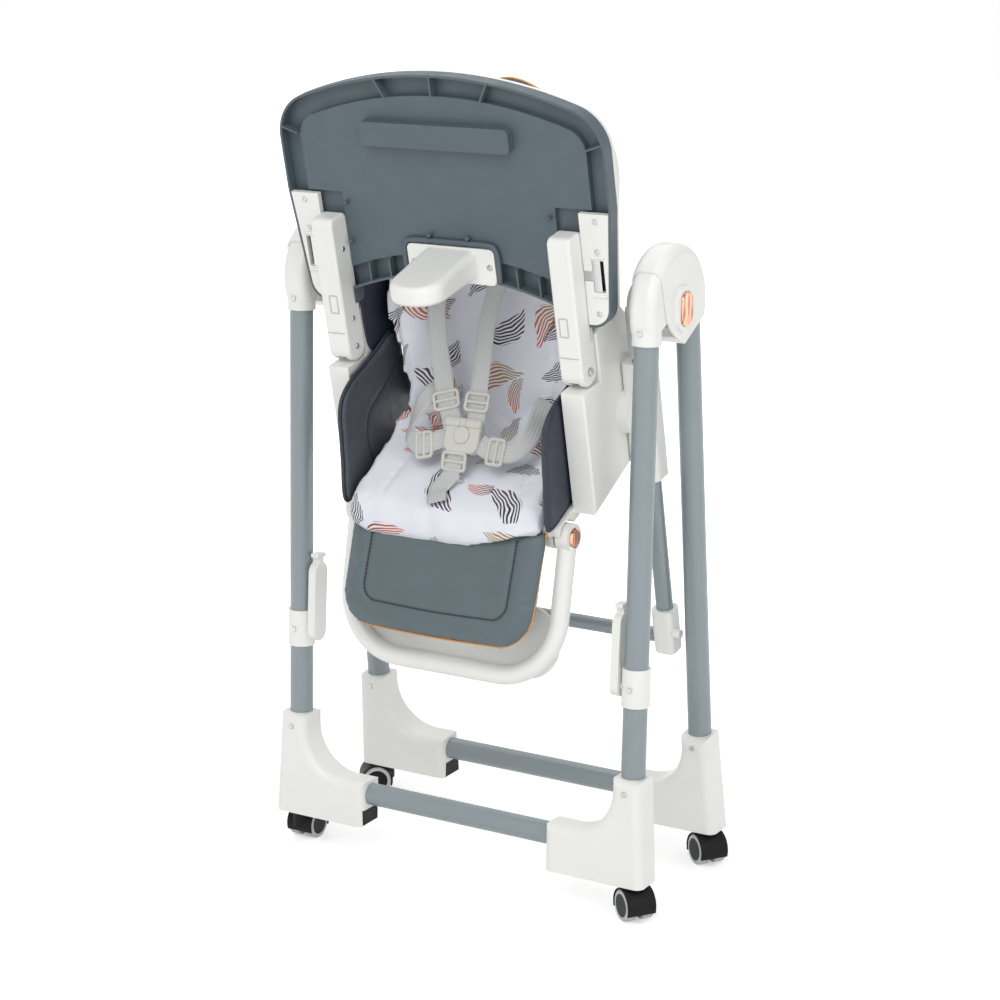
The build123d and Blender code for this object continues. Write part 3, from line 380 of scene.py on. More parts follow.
def leaf_ink(tree, chance, order):
    """One of four inks, drawn by chance: black, rust, plum and ochre."""
    inks = (srgb(34, 32, 38), srgb(206, 92, 56), srgb(84, 54, 72), srgb(158, 136, 62))
    node = add_node(tree, "ShaderNodeValToRGB", {"Fac": chance})
    ramp = node.color_ramp
    ramp.interpolation = "CONSTANT"
    ramp.elements[0].color = inks[order[0]] + (1.0,)
    ramp.elements[1].position = 0.3
    ramp.elements[1].color = inks[order[1]] + (1.0,)
    for position, choice in zip((0.55, 0.78), order[2:]):
        ramp.elements.new(position).color = inks[choice] + (1.0,)
    return node.outputs["Color"]


def printed_cloth(name, ground, motif):
    """Woven cloth printed with large and small striped leaves in a few warm inks."""
    finish, tree, shader = new_finish(name)
    place = cloth_place(tree)
    cloth = toned(tree, noise(tree, place, 30.0, 3.0), ground, 0.96, 1.02)
    for size, shift, density in ((1.0, (0.3, 0.1, 0), 0.86), (0.62, (5.7, 3.4, 0), 0.5)):
        ink, tint = leaf_print(tree, place, motif * size, shift, density)
        cloth = mixed(tree, ink, cloth, tint)
    threads, _ = woven(tree, place, 0.0011)
    puckers = noise(tree, place, 70.0, 4.0)
    height = math_node(tree, "ADD", math_node(tree, "MULTIPLY", threads, 0.25), puckers)
    looks = {
        "Base Color": cloth,
        "Roughness": 0.86,
        "Sheen Weight": 0.15,
        "Normal": relief(tree, height, 0.35, 0.0012),
    }
    set_inputs(tree, shader, looks)
    return finish


def webbing_finish(name, colour):
    """Woven strap with lengthwise ribs and bound edges; its colour is darker in the hollows of the weave and ribs,
    as painted shade.
    """
    finish, tree, shader = new_finish(name)
    threads, axes = woven(tree, cloth_place(tree), 0.0016)
    ribs = math_node(tree, "SINE", math_node(tree, "MULTIPLY", axes.outputs[0], 2 * pi / 0.0042))
    height = math_node(tree, "ADD", threads, ribs)
    looks = {
        # Colour follows the height of weave and ribs: painted shade in their hollows, lighter on their tops.
        "Base Color": toned(tree, ranged(tree, height, -1.6, 1.6), colour, 0.88, 1.06),
        "Roughness": 0.72,
        "Sheen Weight": 0.2,
        "Normal": relief(tree, height, 0.35, 0.0004),
    }
    set_inputs(tree, shader, looks)
    return finish


FINISHES = {}


def make_finishes(colours, sizes):
    """The chair's finishes by the record's slots, and those of the trim."""
    # A darker white for thin lines that stand for recessed notches and grooves: painted shade.
    seam = shade(colours.white, 0.62)
    thread = shade(colours.leather, 0.3)
    FINISHES.update(
        tube=moulded("powder_coated_tube", colours.tube, 0.4, 1800.0, 0.1, metallic=0.15, coat=0.1),
        white_plastic=moulded("moulded_white", colours.white, 0.34, 1500.0, 0.05, coat=0.12),
        slate_plastic=moulded("moulded_slate", colours.slate, 0.5, 1100.0, 0.22),
        light_grey_plastic=moulded("moulded_light_grey", colours.light_grey, 0.45, 1300.0, 0.12),
        black_plastic=moulded("moulded_black", colours.black, 0.46, 1300.0, 0.15, specular=0.2),
        steel=moulded("zinc_steel", colours.steel, 0.3, 900.0, 0.08, metallic=1.0),
        rose_gold=metal_with_painted_reflections("metallised_rose_gold", colours.rose_gold),
        buckle=moulded("buckle_plastic", colours.buckle, 0.5, 1200.0, 0.15),
        liner=printed_cloth("printed_cloth", colours.cloth, sizes.motif),
        dark_leather=leather_finish("grained_leather", colours.leather),
        wing_leather=leather_finish("wing_leather", colours.wing),
        lining=leather_finish("wing_lining", colours.lining),
        strap=webbing_finish("harness_webbing", colours.strap),
        piping=leather_finish("corded_piping", colours.piping),
        seam_shade=moulded("white_painted_groove_shade", seam, 0.5, 1500.0, 0.05),
        thread=moulded("stitching_thread", thread, 0.7, 2000.0, 0.3),
    )


# Mesh making


def new_piece(name, verts, faces, finish):
    """Smooth mesh piece in the scene with one finish."""
    mesh = bpy.data.meshes.new(name)
    mesh.from_pydata([tuple(v) for v in verts], [], faces)
    mesh.update()
    mesh.shade_smooth()
    piece = bpy.data.objects.new(name, mesh)
    bpy.context.scene.collection.objects.link(piece)
    mesh.materials.append(FINISHES[finish])
    return piece


def fit(piece, body):
    """Rides a piece on a body."""
    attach(piece, body)


def coords_of(mesh):
    """Vertex places as an array."""
    flat = np.empty(len(mesh.vertices) * 3)
    mesh.vertices.foreach_get("co", flat)
    return flat.reshape(-1, 3)


def put_coords(mesh, coords):
    """Moves every vertex."""
    mesh.vertices.foreach_set("co", coords.reshape(-1))
    mesh.update()


def normals_of(mesh):
    """Vertex normals as an array."""
    flat = np.empty(len(mesh.vertices) * 3)
    mesh.vertex_normals.foreach_get("vector", flat)
    return flat.reshape(-1, 3)


def settle(piece):
    """Makes the modifiers' result the piece's own mesh."""
    graph = bpy.context.evaluated_depsgraph_get()
    old = piece.data
    mesh = bpy.data.meshes.new_from_object(piece.evaluated_get(graph))
    piece.modifiers.clear()
    piece.data = mesh
    mesh.name = piece.name
    bpy.data.meshes.remove(old)
    mesh.shade_smooth()


def even_mesh(piece, voxel, rounds):
    """Gives the piece an even grid of faces and rounds its edges."""
    shell = piece.modifiers.new("even", "REMESH")
    shell.mode = "VOXEL"
    shell.voxel_size = voxel
    soft = piece.modifiers.new("soft", "SMOOTH")
    soft.factor = 0.5
    soft.iterations = rounds
    settle(piece)


FILLING_FRAMES = 20


def fill_padding(piece, pressure, cap):
    """Swells the cloth with its filling, no further than the cap, then refines it."""
    rest = coords_of(piece.data)
    cloth = piece.modifiers.new("filling", "CLOTH")
    cloth.settings.use_pressure = True
    cloth.settings.uniform_pressure_force = pressure
    cloth.settings.effector_weights.gravity = 0
    cloth.settings.quality = 4
    cloth.collision_settings.use_collision = False
    scene = bpy.context.scene
    for step in range(1, FILLING_FRAMES + 1):
        scene.frame_set(step)
    graph = bpy.context.evaluated_depsgraph_get()
    filled = coords_of(piece.evaluated_get(graph).data)
    piece.modifiers.clear()
    scene.frame_set(1)
    move = filled - rest
    far = np.linalg.norm(move, axis=1, keepdims=True)
    put_coords(piece.data, rest + move * np.minimum(1.0, cap / np.maximum(far, 1e-9)))
    finer = piece.modifiers.new("finer", "SUBSURF")
    finer.levels = 1
    finer.render_levels = 1
    settle(piece)


def smooth_line(points, steps=10, closed=False):
    """Smooth curve through the points, as many more points."""
    pts = np.array([tuple(p) for p in points], float)
    count = len(pts)
    line = []
    for i in range(count if closed else count - 1):
        before = pts[(i - 1) % count] if closed or i > 0 else 2 * pts[0] - pts[1]
        here, there = pts[i], pts[(i + 1) % count]
        after = pts[(i + 2) % count] if closed or i + 2 < count else 2 * pts[-1] - pts[-2]
        bend = 2 * before - 5 * here + 4 * there - after
        twist = 3 * here - before - 3 * there + after
        for s in range(steps):
            t = s / steps
            line.append(0.5 * (2 * here + (there - before) * t + bend * t**2 + twist * t**3))
    if not closed:
        line.append(pts[-1])
    return np.array(line)


def set_cloth_place(mesh, across, along):
    """Keeps each vertex's place on the flat cloth for the finish to read."""
    layer = mesh.attributes.new("cloth_place", "FLOAT_VECTOR", "POINT")
    flat = np.stack([across, along, np.zeros(len(across))], axis=1)
    layer.data.foreach_set("vector", flat.reshape(-1).astype(np.float32))


def unit(vector):
    """Vector of length one."""
    return vector / np.linalg.norm(vector)


def tangents_of(line):
    """Unit directions along a line of points."""
    run = np.gradient(line, axis=0)
    return run / np.linalg.norm(run, axis=1, keepdims=True)


def lengths_along(line):
    """Distance of each point from the start of its line."""
    return np.concatenate([[0], np.cumsum(np.linalg.norm(np.diff(line, axis=0), axis=1))])


def ring_faces(base, rings, sides, closed=False):
    """Faces that join rings of vertices one after another, with ends where the run is open."""
    faces = []
    for i in range(rings if closed else rings - 1):
        a = base + i * sides
        b = base + (i + 1) % rings * sides
        for k in range(sides):
            n = (k + 1) % sides
            faces.append((a + k, a + n, b + n, b + k))
    if not closed:
        last = base + (rings - 1) * sides
        faces.append(tuple(range(base, base + sides))[::-1])
        faces.append(tuple(range(last, last + sides)))
    return faces


# How far past its line a tube's end reaches, and how small it gets there, as shares of the radius.
TUBE_CAP = 0.55
TUBE_TIP = 0.45


def round_tube(name, points, radius, finish, closed=False, sides=8, flat=1.0, steps=10):
    """Tube along a smooth line, with domed ends where it is open."""
    line = smooth_line(points, steps, closed)
    run = tangents_of(line)
    if closed:
        wrapped = np.roll(line, -1, axis=0) - np.roll(line, 1, axis=0)
        run = wrapped / np.linalg.norm(wrapped, axis=1, keepdims=True)
    side = unit(np.cross(run[0], (0.3, 0.5, 0.8)))
    rings = []
    for centre, ahead in zip(line, run):
        side = unit(side - ahead * np.dot(side, ahead))
        rings.append((centre, side, np.cross(ahead, side), 1.0))
    if not closed:
        start, end = rings[0], rings[-1]
        cap = TUBE_CAP * radius
        rings.insert(0, (start[0] - run[0] * cap, start[1], start[2], TUBE_TIP))
        rings.append((end[0] + run[-1] * cap, end[1], end[2], TUBE_TIP))
    verts = []
    for centre, across, rise, size in rings:
        for k in range(sides):
            angle = 2 * pi * k / sides
            verts.append(centre + radius * size * (across * cos(angle) + rise * flat * sin(angle)))
    return new_piece(name, verts, ring_faces(0, len(rings), sides, closed), finish)


def seat_tube(name, points, radius, finish, body, slot, **shape):
    """Small tube through points on the seat's axes, riding on a body."""
    tube = round_tube(name, [seat_point(*p) for p in points], radius * MM, finish, **shape)
    fit(tube, body)


def webbing(name, points, faces_to, sizes):
    """Strap along a smooth line, its flat side turned to the given directions."""
    half = sizes.webbing / 2
    thick = sizes.webbing_thickness / 2
    line = smooth_line(points, 12)
    run = tangents_of(line)
    turns = smooth_line(faces_to, 12)
    reach = lengths_along(line)
    section = [(-1, 0), (-0.97, 0.8), (-0.6, 1), (0, 1), (0.6, 1), (0.97, 0.8)]
    section += [(-u, -v) for u, v in section]
    verts, across_place, along_place = [], [], []
    for i, centre in enumerate(line):
        out = unit(turns[i] - run[i] * np.dot(turns[i], run[i]))
        across = np.cross(run[i], out)
        for u, v in section:
            verts.append(centre + across * half * u + out * thick * v)
            across_place.append(half * u)
            along_place.append(reach[i])
    strap = new_piece(name, verts, ring_faces(0, len(line), len(section)), "strap")
    set_cloth_place(strap.data, np.array(across_place), np.array(along_place))
    return strap


def flat_pad(name, outline, out, thickness, finish):
    """Closed slab from an outline of points, its thickness laid along a direction."""
    ring = [Vector(p) for p in outline]
    step = Vector(out) * thickness
    count = len(ring)
    verts = ring + [p + step for p in ring]
    faces = [tuple(range(count)), tuple(range(2 * count - 1, count - 1, -1))]
    for i in range(count):
        j = (i + 1) % count
        faces.append((j, i, count + i, count + j))
    slab = new_piece(name, verts, faces, finish)
    sides = bmesh.new()
    sides.from_mesh(slab.data)
    bmesh.ops.recalc_face_normals(sides, faces=sides.faces)
    sides.to_mesh(slab.data)
    sides.free()
    return slab


def laid_on(piece, points, out, lift):
    """Smooth line brought onto a piece from the side a direction points to, and raised by the lift."""
    mesh = piece.data
    surface = BVHTree.FromPolygons([v.co for v in mesh.vertices], [f.vertices for f in mesh.polygons])
    line = []
    for place in smooth_line(points, 8):
        hit = surface.ray_cast(Vector(place) + out * 0.05, -out)[0]
        if hit is None:
            raise RuntimeError(f"a sewn line runs off {piece.name}")
        line.append(hit + out * lift)
    return line


# Rings of one stitch: the share of its length, and the size there.
STITCH_RINGS = ((0.0, 0.4), (0.2, 1.0), (0.8, 1.0), (1.0, 0.4))
STITCH_LIFT = 0.4 * MM


def stitches(name, points, out, length, gap, radius):
    """Row of short stitches along a line."""
    line = np.array([tuple(p) for p in points])
    out = np.array(tuple(out))
    reach = lengths_along(line)
    verts, faces = [], []
    for start in np.arange(0, reach[-1] - length * MM, (length + gap) * MM):
        first, last = (
            np.array([np.interp(s, reach, line[:, axis]) for axis in range(3)])
            for s in (start, start + length * MM)
        )
        run = unit(last - first)
        side = unit(np.cross(run, out))
        rise = np.cross(side, run)
        faces += ring_faces(len(verts), len(STITCH_RINGS), 6)
        for share, size in STITCH_RINGS:
            centre = first + (last - first) * share + out * STITCH_LIFT
            for k in range(6):
                angle = pi * k / 3
                verts.append(centre + radius * MM * size * (side * cos(angle) + rise * sin(angle)))
    return new_piece(name, verts, faces, "thread")


def round_corners(half, low, high, corner, steps=9):
    """Corner points of a rounded rectangle, across and up, anticlockwise from its right side."""
    ring = []
    for quarter, (side, level) in enumerate(((1, high), (-1, high), (-1, low), (1, low))):
        inward = 1 if level == low else -1
        for angle in np.linspace(quarter * pi / 2, (quarter + 1) * pi / 2, steps):
            x = side * (half - corner) + corner * cos(angle)
            ring.append((x, level + inward * corner + corner * sin(angle)))
    return ring


def along_sides(corners, shares):
    """Points on each side of a closed outline, at these shares of the side."""
    ring = []
    for (x0, y0), (x1, y1) in zip(corners, corners[1:] + corners[:1]):
        ring += [(x0 + (x1 - x0) * t, y0 + (y1 - y0) * t) for t in shares]
    return ring


def groove(piece, distance, depth, width):
    """Presses a sewn line into a piece, from each vertex's distance to it."""
    mesh = piece.data
    press = depth * np.exp(-((distance / width) ** 2))
    put_coords(mesh, coords_of(mesh) - normals_of(mesh) * press[:, None])


def line_distance(coords, line):
    """Distance of each place from a line of points."""
    best = np.full(len(coords), 1e9)
    for a, b in zip(line[:-1], line[1:]):
        run = b - a
        t = np.clip(((coords - a) @ run) / max(run @ run, 1e-12), 0, 1)
        best = np.minimum(best, np.linalg.norm(coords - a - t[:, None] * run, axis=1))
    return best


# Pieces


# The liner's middle line on the seat's axes, back and up, from its front hem to its top. The tables
# after it give, at each of these points, its half width, the lift of its side edges and its thickness.
LINER_MIDDLE = (
    (-178, -277), (-186, -268), (-187, -254), (-180, -240), (-160, -227), (-120, -213), (-80, -203),
    (-44, -194), (-18, -180), (-5.8, -156.6), (6.3, -108), (23.3, -40), (47.5, 57), (71.7, 154),
    (86.6, 212),
)
LINER_HALF = (126, 131, 134, 136, 137, 137, 135, 129, 122, 121, 127, 138, 138, 124, 112)
LINER_LIFT = (0, 0, 0, 1, 4, 10, 22, 32, 32, 32, 44, 62, 54, 18, 4)
LINER_THICK = (10, 14, 18, 20, 22, 24, 25, 24, 22, 20, 19, 19, 19, 18, 14)
LINER_STEPS = 6
LINER_COLUMNS = 33
LINER_CREASE = 8
LINER_CROWN = 54
LINER_SEAM = 0.66


def liner_trim(u):
    """Millimetres cut off the front hem across the width: square at one corner, swept at the other."""
    return 50 * u**1.7 if u > 0 else 4 * abs(u) + 18 * u**10


def cloth_relief(across, reach, crease, seam, hem):
    """How far worn cloth rises: folds in the crease, waves, puckers at the seams, gathers at the hem."""
    folded = np.exp(-(((reach - crease) / 0.05) ** 2))
    folds = np.sin(across * 170 + 3 * np.sin(reach * 60)) * folded * 2.0
    waves = np.sin(across * 62 + 2 * np.sin(reach * 24)) * np.sin(reach * 40 + 1.5 * np.sin(across * 36))
    puckers = np.sin(reach * 2 * pi / 0.017) * np.exp(-((seam / 0.011) ** 2)) * hem * 0.45
    gathers = np.sin(across * 2 * pi / 0.043 + 1.0) * np.exp(-(((reach - 0.035) / 0.03) ** 2)) * 0.5
    return (folds + waves * (0.4 + 1.1 * hem) + puckers + gathers) * MM


def quilt_faces(rows, n):
    """Faces of a closed quilt: two grids of rows by n vertices, top first, joined round their edges."""
    faces = []
    under = rows * n
    for i in range(rows - 1):
        for k in range(n - 1):
            a = i * n + k
            faces.append((a, a + 1, a + n + 1, a + n))
            faces.append((under + a + n, under + a + n + 1, under + a + 1, under + a))
        for k in (0, n - 1):
            a = i * n + k
            quad = (a, a + n, under + a + n, under + a)
            faces.append(quad if k == 0 else quad[::-1])
    for k in range(n - 1):
        faces.append((k, under + k, under + k + 1, k + 1))
        a = (rows - 1) * n + k
        faces.append((a, a + 1, under + a + 1, under + a))
    return faces


class HIGHCHAIR_OT_liner(bpy.types.Operator):
    """Printed padded liner, from the front of the seat over the crease and up the backrest."""

    bl_idname = "high_chair.liner"
    bl_label = "Padded liner"

    def execute(self, context):
        sizes = context.scene.high_chair_sizes
        middle = smooth_line([seat_point(0, y, z) for y, z in LINER_MIDDLE], LINER_STEPS)
        run = tangents_of(middle)
        out = np.cross(np.array(tuple(ACROSS)), run)
        along = np.arange(len(middle))
        knots = np.arange(len(LINER_MIDDLE)) * LINER_STEPS
        tables = [np.interp(along, knots, table) * MM for table in (LINER_HALF, LINER_LIFT, LINER_THICK)]
        reach = lengths_along(middle)
        top, below = [], []
        for share in reach / reach[-1]:
            for u in np.linspace(-1, 1, LINER_COLUMNS):
                first = liner_trim(u) * MM
                last = reach[-1] - LINER_CROWN * MM * abs(u) ** 4
                at = np.interp(first + (last - first) * share, reach, along)
                centre = np.array([np.interp(at, along, middle[:, axis]) for axis in range(3)])
                rise = np.array([np.interp(at, along, out[:, axis]) for axis in range(3)])
                wide, lifted, deep = (np.interp(at, along, table) for table in tables)
                raised = lifted * abs(u) ** 3
                thinned = (deep - min(deep, sizes.liner_edge)) * 0.5 * abs(u) ** 8
                top.append(centre + np.array((wide * u, 0, 0)) + rise * (raised - thinned))
                below.append(centre + np.array((wide * u * 0.985, 0, 0)) + rise * (raised - deep))
        faces = quilt_faces(len(middle), LINER_COLUMNS)
        liner = new_piece("printed_liner", top + below, faces, "liner")
        liner.data.materials.append(FINISHES["lining"])
        even_mesh(liner, sizes.voxel, 3)
        fill_padding(liner, 4.0, sizes.swell)
        mesh = liner.data
        coords = coords_of(mesh)
        gaps = np.linalg.norm(coords[:, None, 1:] - middle[None, :, 1:], axis=2)
        nearest = np.argmin(gaps, axis=1)
        offset = np.einsum("ij,ij->i", coords - middle[nearest], run[nearest])
        place = reach[nearest] + offset
        seam = np.abs(np.abs(coords[:, 0]) - LINER_SEAM * tables[0][nearest])
        hem = np.clip((place - 0.05) / 0.05, 0, 1)
        groove(liner, seam, 3.0 * MM * hem, 4.5 * MM)
        rise = cloth_relief(coords[:, 0], place, reach[LINER_CREASE * LINER_STEPS], seam, hem)
        put_coords(mesh, coords_of(mesh) + normals_of(mesh) * rise[:, None])
        set_cloth_place(mesh, coords[:, 0], place)
        for face in mesh.polygons:
            row = nearest[face.vertices[0]]
            face.material_index = 1 if np.dot(face.normal, out[row]) < -0.3 else 0
        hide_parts("seat_liner", "backrest_liner")
        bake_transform(liner)
        return {"FINISHED"}


# Left half of the border roll, across and up on the backrest's axes, from below.
BORDER_HALF = (
    (134, 110), (134, 150), (133, 200), (132, 240), (126, 290), (110, 338), (82, 378), (46, 409),
)
BORDER_TOP = (0, 425)
BORDER_DEPTH = 3
BORDER_RADIUS = 12.5
COVER_HALF = 138
COVER_FOOT = 24
COVER_BACK = 11.5
COVER_THICK = 9

# Outline of a flap beside the backrest, back and up on the seat's axes.
FLAP_EDGE = (
    (27, -86), (36, -42), (47, 4), (54, 36), (40, 50), (0, 50), (-50, 44), (-64, 30), (-65, 0),
    (-65, -40), (-61, -70), (-44, -83), (-10, -91), (16, -94),
)
FLAP_X = 149
FLAP_THICK = 2.4


class HIGHCHAIR_OT_back_border(bpy.types.Operator):
    """Dark cover of the backrest: its padded face, the corded roll round it and the flaps beside it."""

    bl_idname = "high_chair.back_border"
    bl_label = "Backrest border"

    def execute(self, context):
        sizes = context.scene.high_chair_sizes
        whole = list(BORDER_HALF) + [BORDER_TOP] + [(-x, t) for x, t in reversed(BORDER_HALF)]
        line = [back_point(x, BORDER_DEPTH, t) for x, t in whole]
        roll = round_tube("backrest_border", line, BORDER_RADIUS * MM, "lining", sides=20)
        edge = smooth_line([(x, t, 0) for x, t in whole], 3)[:, :2]
        run = tangents_of(edge)
        rim = edge + np.stack([run[:, 1], -run[:, 0]], axis=1) * (BORDER_RADIUS + 0.6)
        rim = [back_point(x, BORDER_DEPTH, t) for x, t in rim]
        cord = round_tube("backrest_piping", rim, sizes.piping, "piping", steps=3)
        outline = [(x, t) for x, t in round_corners(COVER_HALF, 70, 412, 92) if t > 200]
        outline += [(-COVER_HALF, COVER_FOOT), (COVER_HALF, COVER_FOOT)]
        outline = [back_point(x, COVER_BACK, t) for x, t in outline]
        cover = flat_pad("backrest_cover", outline, -BACK_DEPTH, COVER_THICK * MM, "lining")
        even_mesh(cover, sizes.voxel * 0.6, 5)
        pieces = [roll, cord, cover]
        edge = smooth_line([(y, z, 0) for y, z in FLAP_EDGE], 6, closed=True)
        for side, name in SIDES:
            outline = [seat_point(side * FLAP_X, y, z) for y, z, _ in edge]
            flap = flat_pad(f"backrest_flap_{name}", outline, ACROSS * side, FLAP_THICK * MM, "lining")
            even_mesh(flap, FLAP_THICK / 2 * MM, 4)
            pieces.append(flap)
        for piece in pieces:
            fit(piece, "backrest")
        return {"FINISHED"}


# Outline and sewn line of a wing, back and up on the seat's axes.
WING_EDGE = (
    (-9, -74), (-24, -68), (-52, -77), (-82, -85), (-118, -94), (-141, -108), (-151, -128),
    (-155, -156), (-160, -192), (-165, -218), (-164, -236), (-148, -238), (-96, -224), (-24, -208),
    (2, -190), (9, -166), (9, -146), (1, -112),
)
WING_SEAM = ((-6, -103), (-12, -106), (-56, -127), (-91, -143), (-103, -162), (-105, -185), (-101, -212))
WING_MIDDLE = np.array((-88, -160))
WING_X = 139.5
WING_THICK = 9
WING_CORD_X = 145.5


class HIGHCHAIR_OT_wings(bpy.types.Operator):
    """Padded side wings of the seat, leather darkened with painted shade inside and dark lining outside."""

    bl_idname = "high_chair.wings"
    bl_label = "Side wings"

    def execute(self, context):
        sizes = context.scene.high_chair_sizes
        edge = smooth_line([(y, z, 0) for y, z in WING_EDGE], 8, closed=True)[:, :2]
        for side, name in SIDES:
            inward = -ACROSS * side
            outline = [seat_point(side * WING_X, y, z) for y, z in edge]
            wing = flat_pad(f"side_wing_{name}", outline, ACROSS * side, WING_THICK * MM, "wing_leather")
            wing.data.materials.append(FINISHES["lining"])
            even_mesh(wing, 3 * MM, 5)
            fill_padding(wing, 2.0, 0.8 * MM)
            for face in wing.data.polygons:
                face.material_index = 1 if face.normal.x * side > 0.2 else 0
            line = [seat_point(side * (WING_X - 0.1), y, z) for y, z in WING_SEAM]
            groove(wing, line_distance(coords_of(wing.data), smooth_line(line, 8)), 1.6 * MM, 4 * MM)
            fit(wing, "seat")
            if side > 0:
                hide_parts("seat_wings")
            sewn = laid_on(wing, line, inward, 0.2 * MM)
            row = stitches(f"wing_stitches_{name}", sewn, inward, 4.0, 0.8, 0.7)
            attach(row, "seat")
            rim = (WING_MIDDLE + (edge - WING_MIDDLE) * 1.004)[::4]
            rim = [seat_point(side * WING_CORD_X, y, z) for y, z in rim]
            cord = round_tube(f"wing_piping_{name}", rim, sizes.piping * 1.7, "lining", closed=True)
            fit(cord, "seat")
        return {"FINISHED"}


PAD_TOP = -4
PAD_BOTTOM = 143
PAD_HALF = 137
PAD_CORNER = 46
PAD_DEPTH = -34.0
PAD_SLOPE = 0.13
PAD_SEAM = 34


def pad_point(x, down, proud=0.0):
    """Point on the calf pad's front face, which leans out below."""
    depth = PAD_DEPTH - (down - PAD_TOP) * PAD_SLOPE
    return rest_point(x, depth - proud, down)


def pad_outline(inset):
    """Half-rounded outline of the calf pad, drawn in from its edge, from one top corner to the other."""
    half, bottom, corner = PAD_HALF - inset, PAD_BOTTOM - inset, PAD_CORNER - 0.75 * inset
    arc = [(half - corner * (1 - cos(a)), bottom - corner * (1 - sin(a))) for a in np.linspace(0, pi / 2, 9)]
    right = [(half, PAD_TOP + inset * 0.4), (half, 40), (half, 66)] + arc
    left = [(-x, d) for x, d in reversed(right)]
    return right + [(0, bottom + 2)] + left


class HIGHCHAIR_OT_calf_pad(bpy.types.Operator):
    """Stitched leather calf pad that hangs from the front of the seat over the footrest."""

    bl_idname = "high_chair.calf_pad"
    bl_label = "Calf pad"

    def execute(self, context):
        sizes = context.scene.high_chair_sizes
        thick = sizes.calf_pad
        back = [pad_point(x, d, -thick / MM) for x, d in pad_outline(0)]
        pad = flat_pad("calf_pad", back, -REST_DEPTH, thick, "dark_leather")
        even_mesh(pad, sizes.voxel * 0.8, 6)
        fill_padding(pad, 3.0, 3.5 * MM)
        sewn = smooth_line([pad_point(x, d) for x, d in pad_outline(PAD_SEAM)], 4)
        groove(pad, line_distance(coords_of(pad.data), sewn), 3.2 * MM, 4.5 * MM)
        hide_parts("leg_pad")
        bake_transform(pad)
        panel = laid_on(pad, sewn[::4], -REST_DEPTH, 0.3 * MM)
        row = stitches("calf_pad_stitches", panel, -REST_DEPTH, 4.0, 0.6, 1.0)
        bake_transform(row)
        rim = [pad_point(x, d, -thick / MM / 2) for x, d in pad_outline(1.8)]
        cord = round_tube("calf_pad_piping", rim, sizes.piping, "piping", steps=5)
        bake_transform(cord)
        return {"FINISHED"}


def harness_path(points):
    """Harness points on the seat's axes as places in the frame."""
    return [seat_point(*p) for p in points]


def flat_dirs(directions):
    """Directions on the seat's axes, across, back and up, as vectors in the frame."""
    return [ACROSS * x + SEAT_BACK * b + SEAT_UP * u for x, b, u in directions]


GLIDE_HALF = (15.5, 10.5)


def tri_glide(name, centre, along, out):
    """Strap adjuster: a rounded frame with a middle bar."""
    along = Vector(along).normalized()
    out = Vector(out)
    out = (out - along * out.dot(along)).normalized()
    across = along.cross(out)
    wide, long = (half * MM for half in GLIDE_HALF)
    corners = [(wide, long), (-wide, long), (-wide, -long), (wide, -long)]
    ring = [centre + across * x + along * y for x, y in along_sides(corners, (0.12, 0.5, 0.88))]
    bar = [centre + across * wide * s for s in (-1, 0, 1)]
    pieces = (
        round_tube(name, ring, 2.4 * MM, "buckle", closed=True, sides=10, steps=4),
        round_tube(f"{name}_bar", bar, 2.2 * MM, "buckle", sides=10, steps=3),
    )
    for piece in pieces:
        fit(piece, "seat")


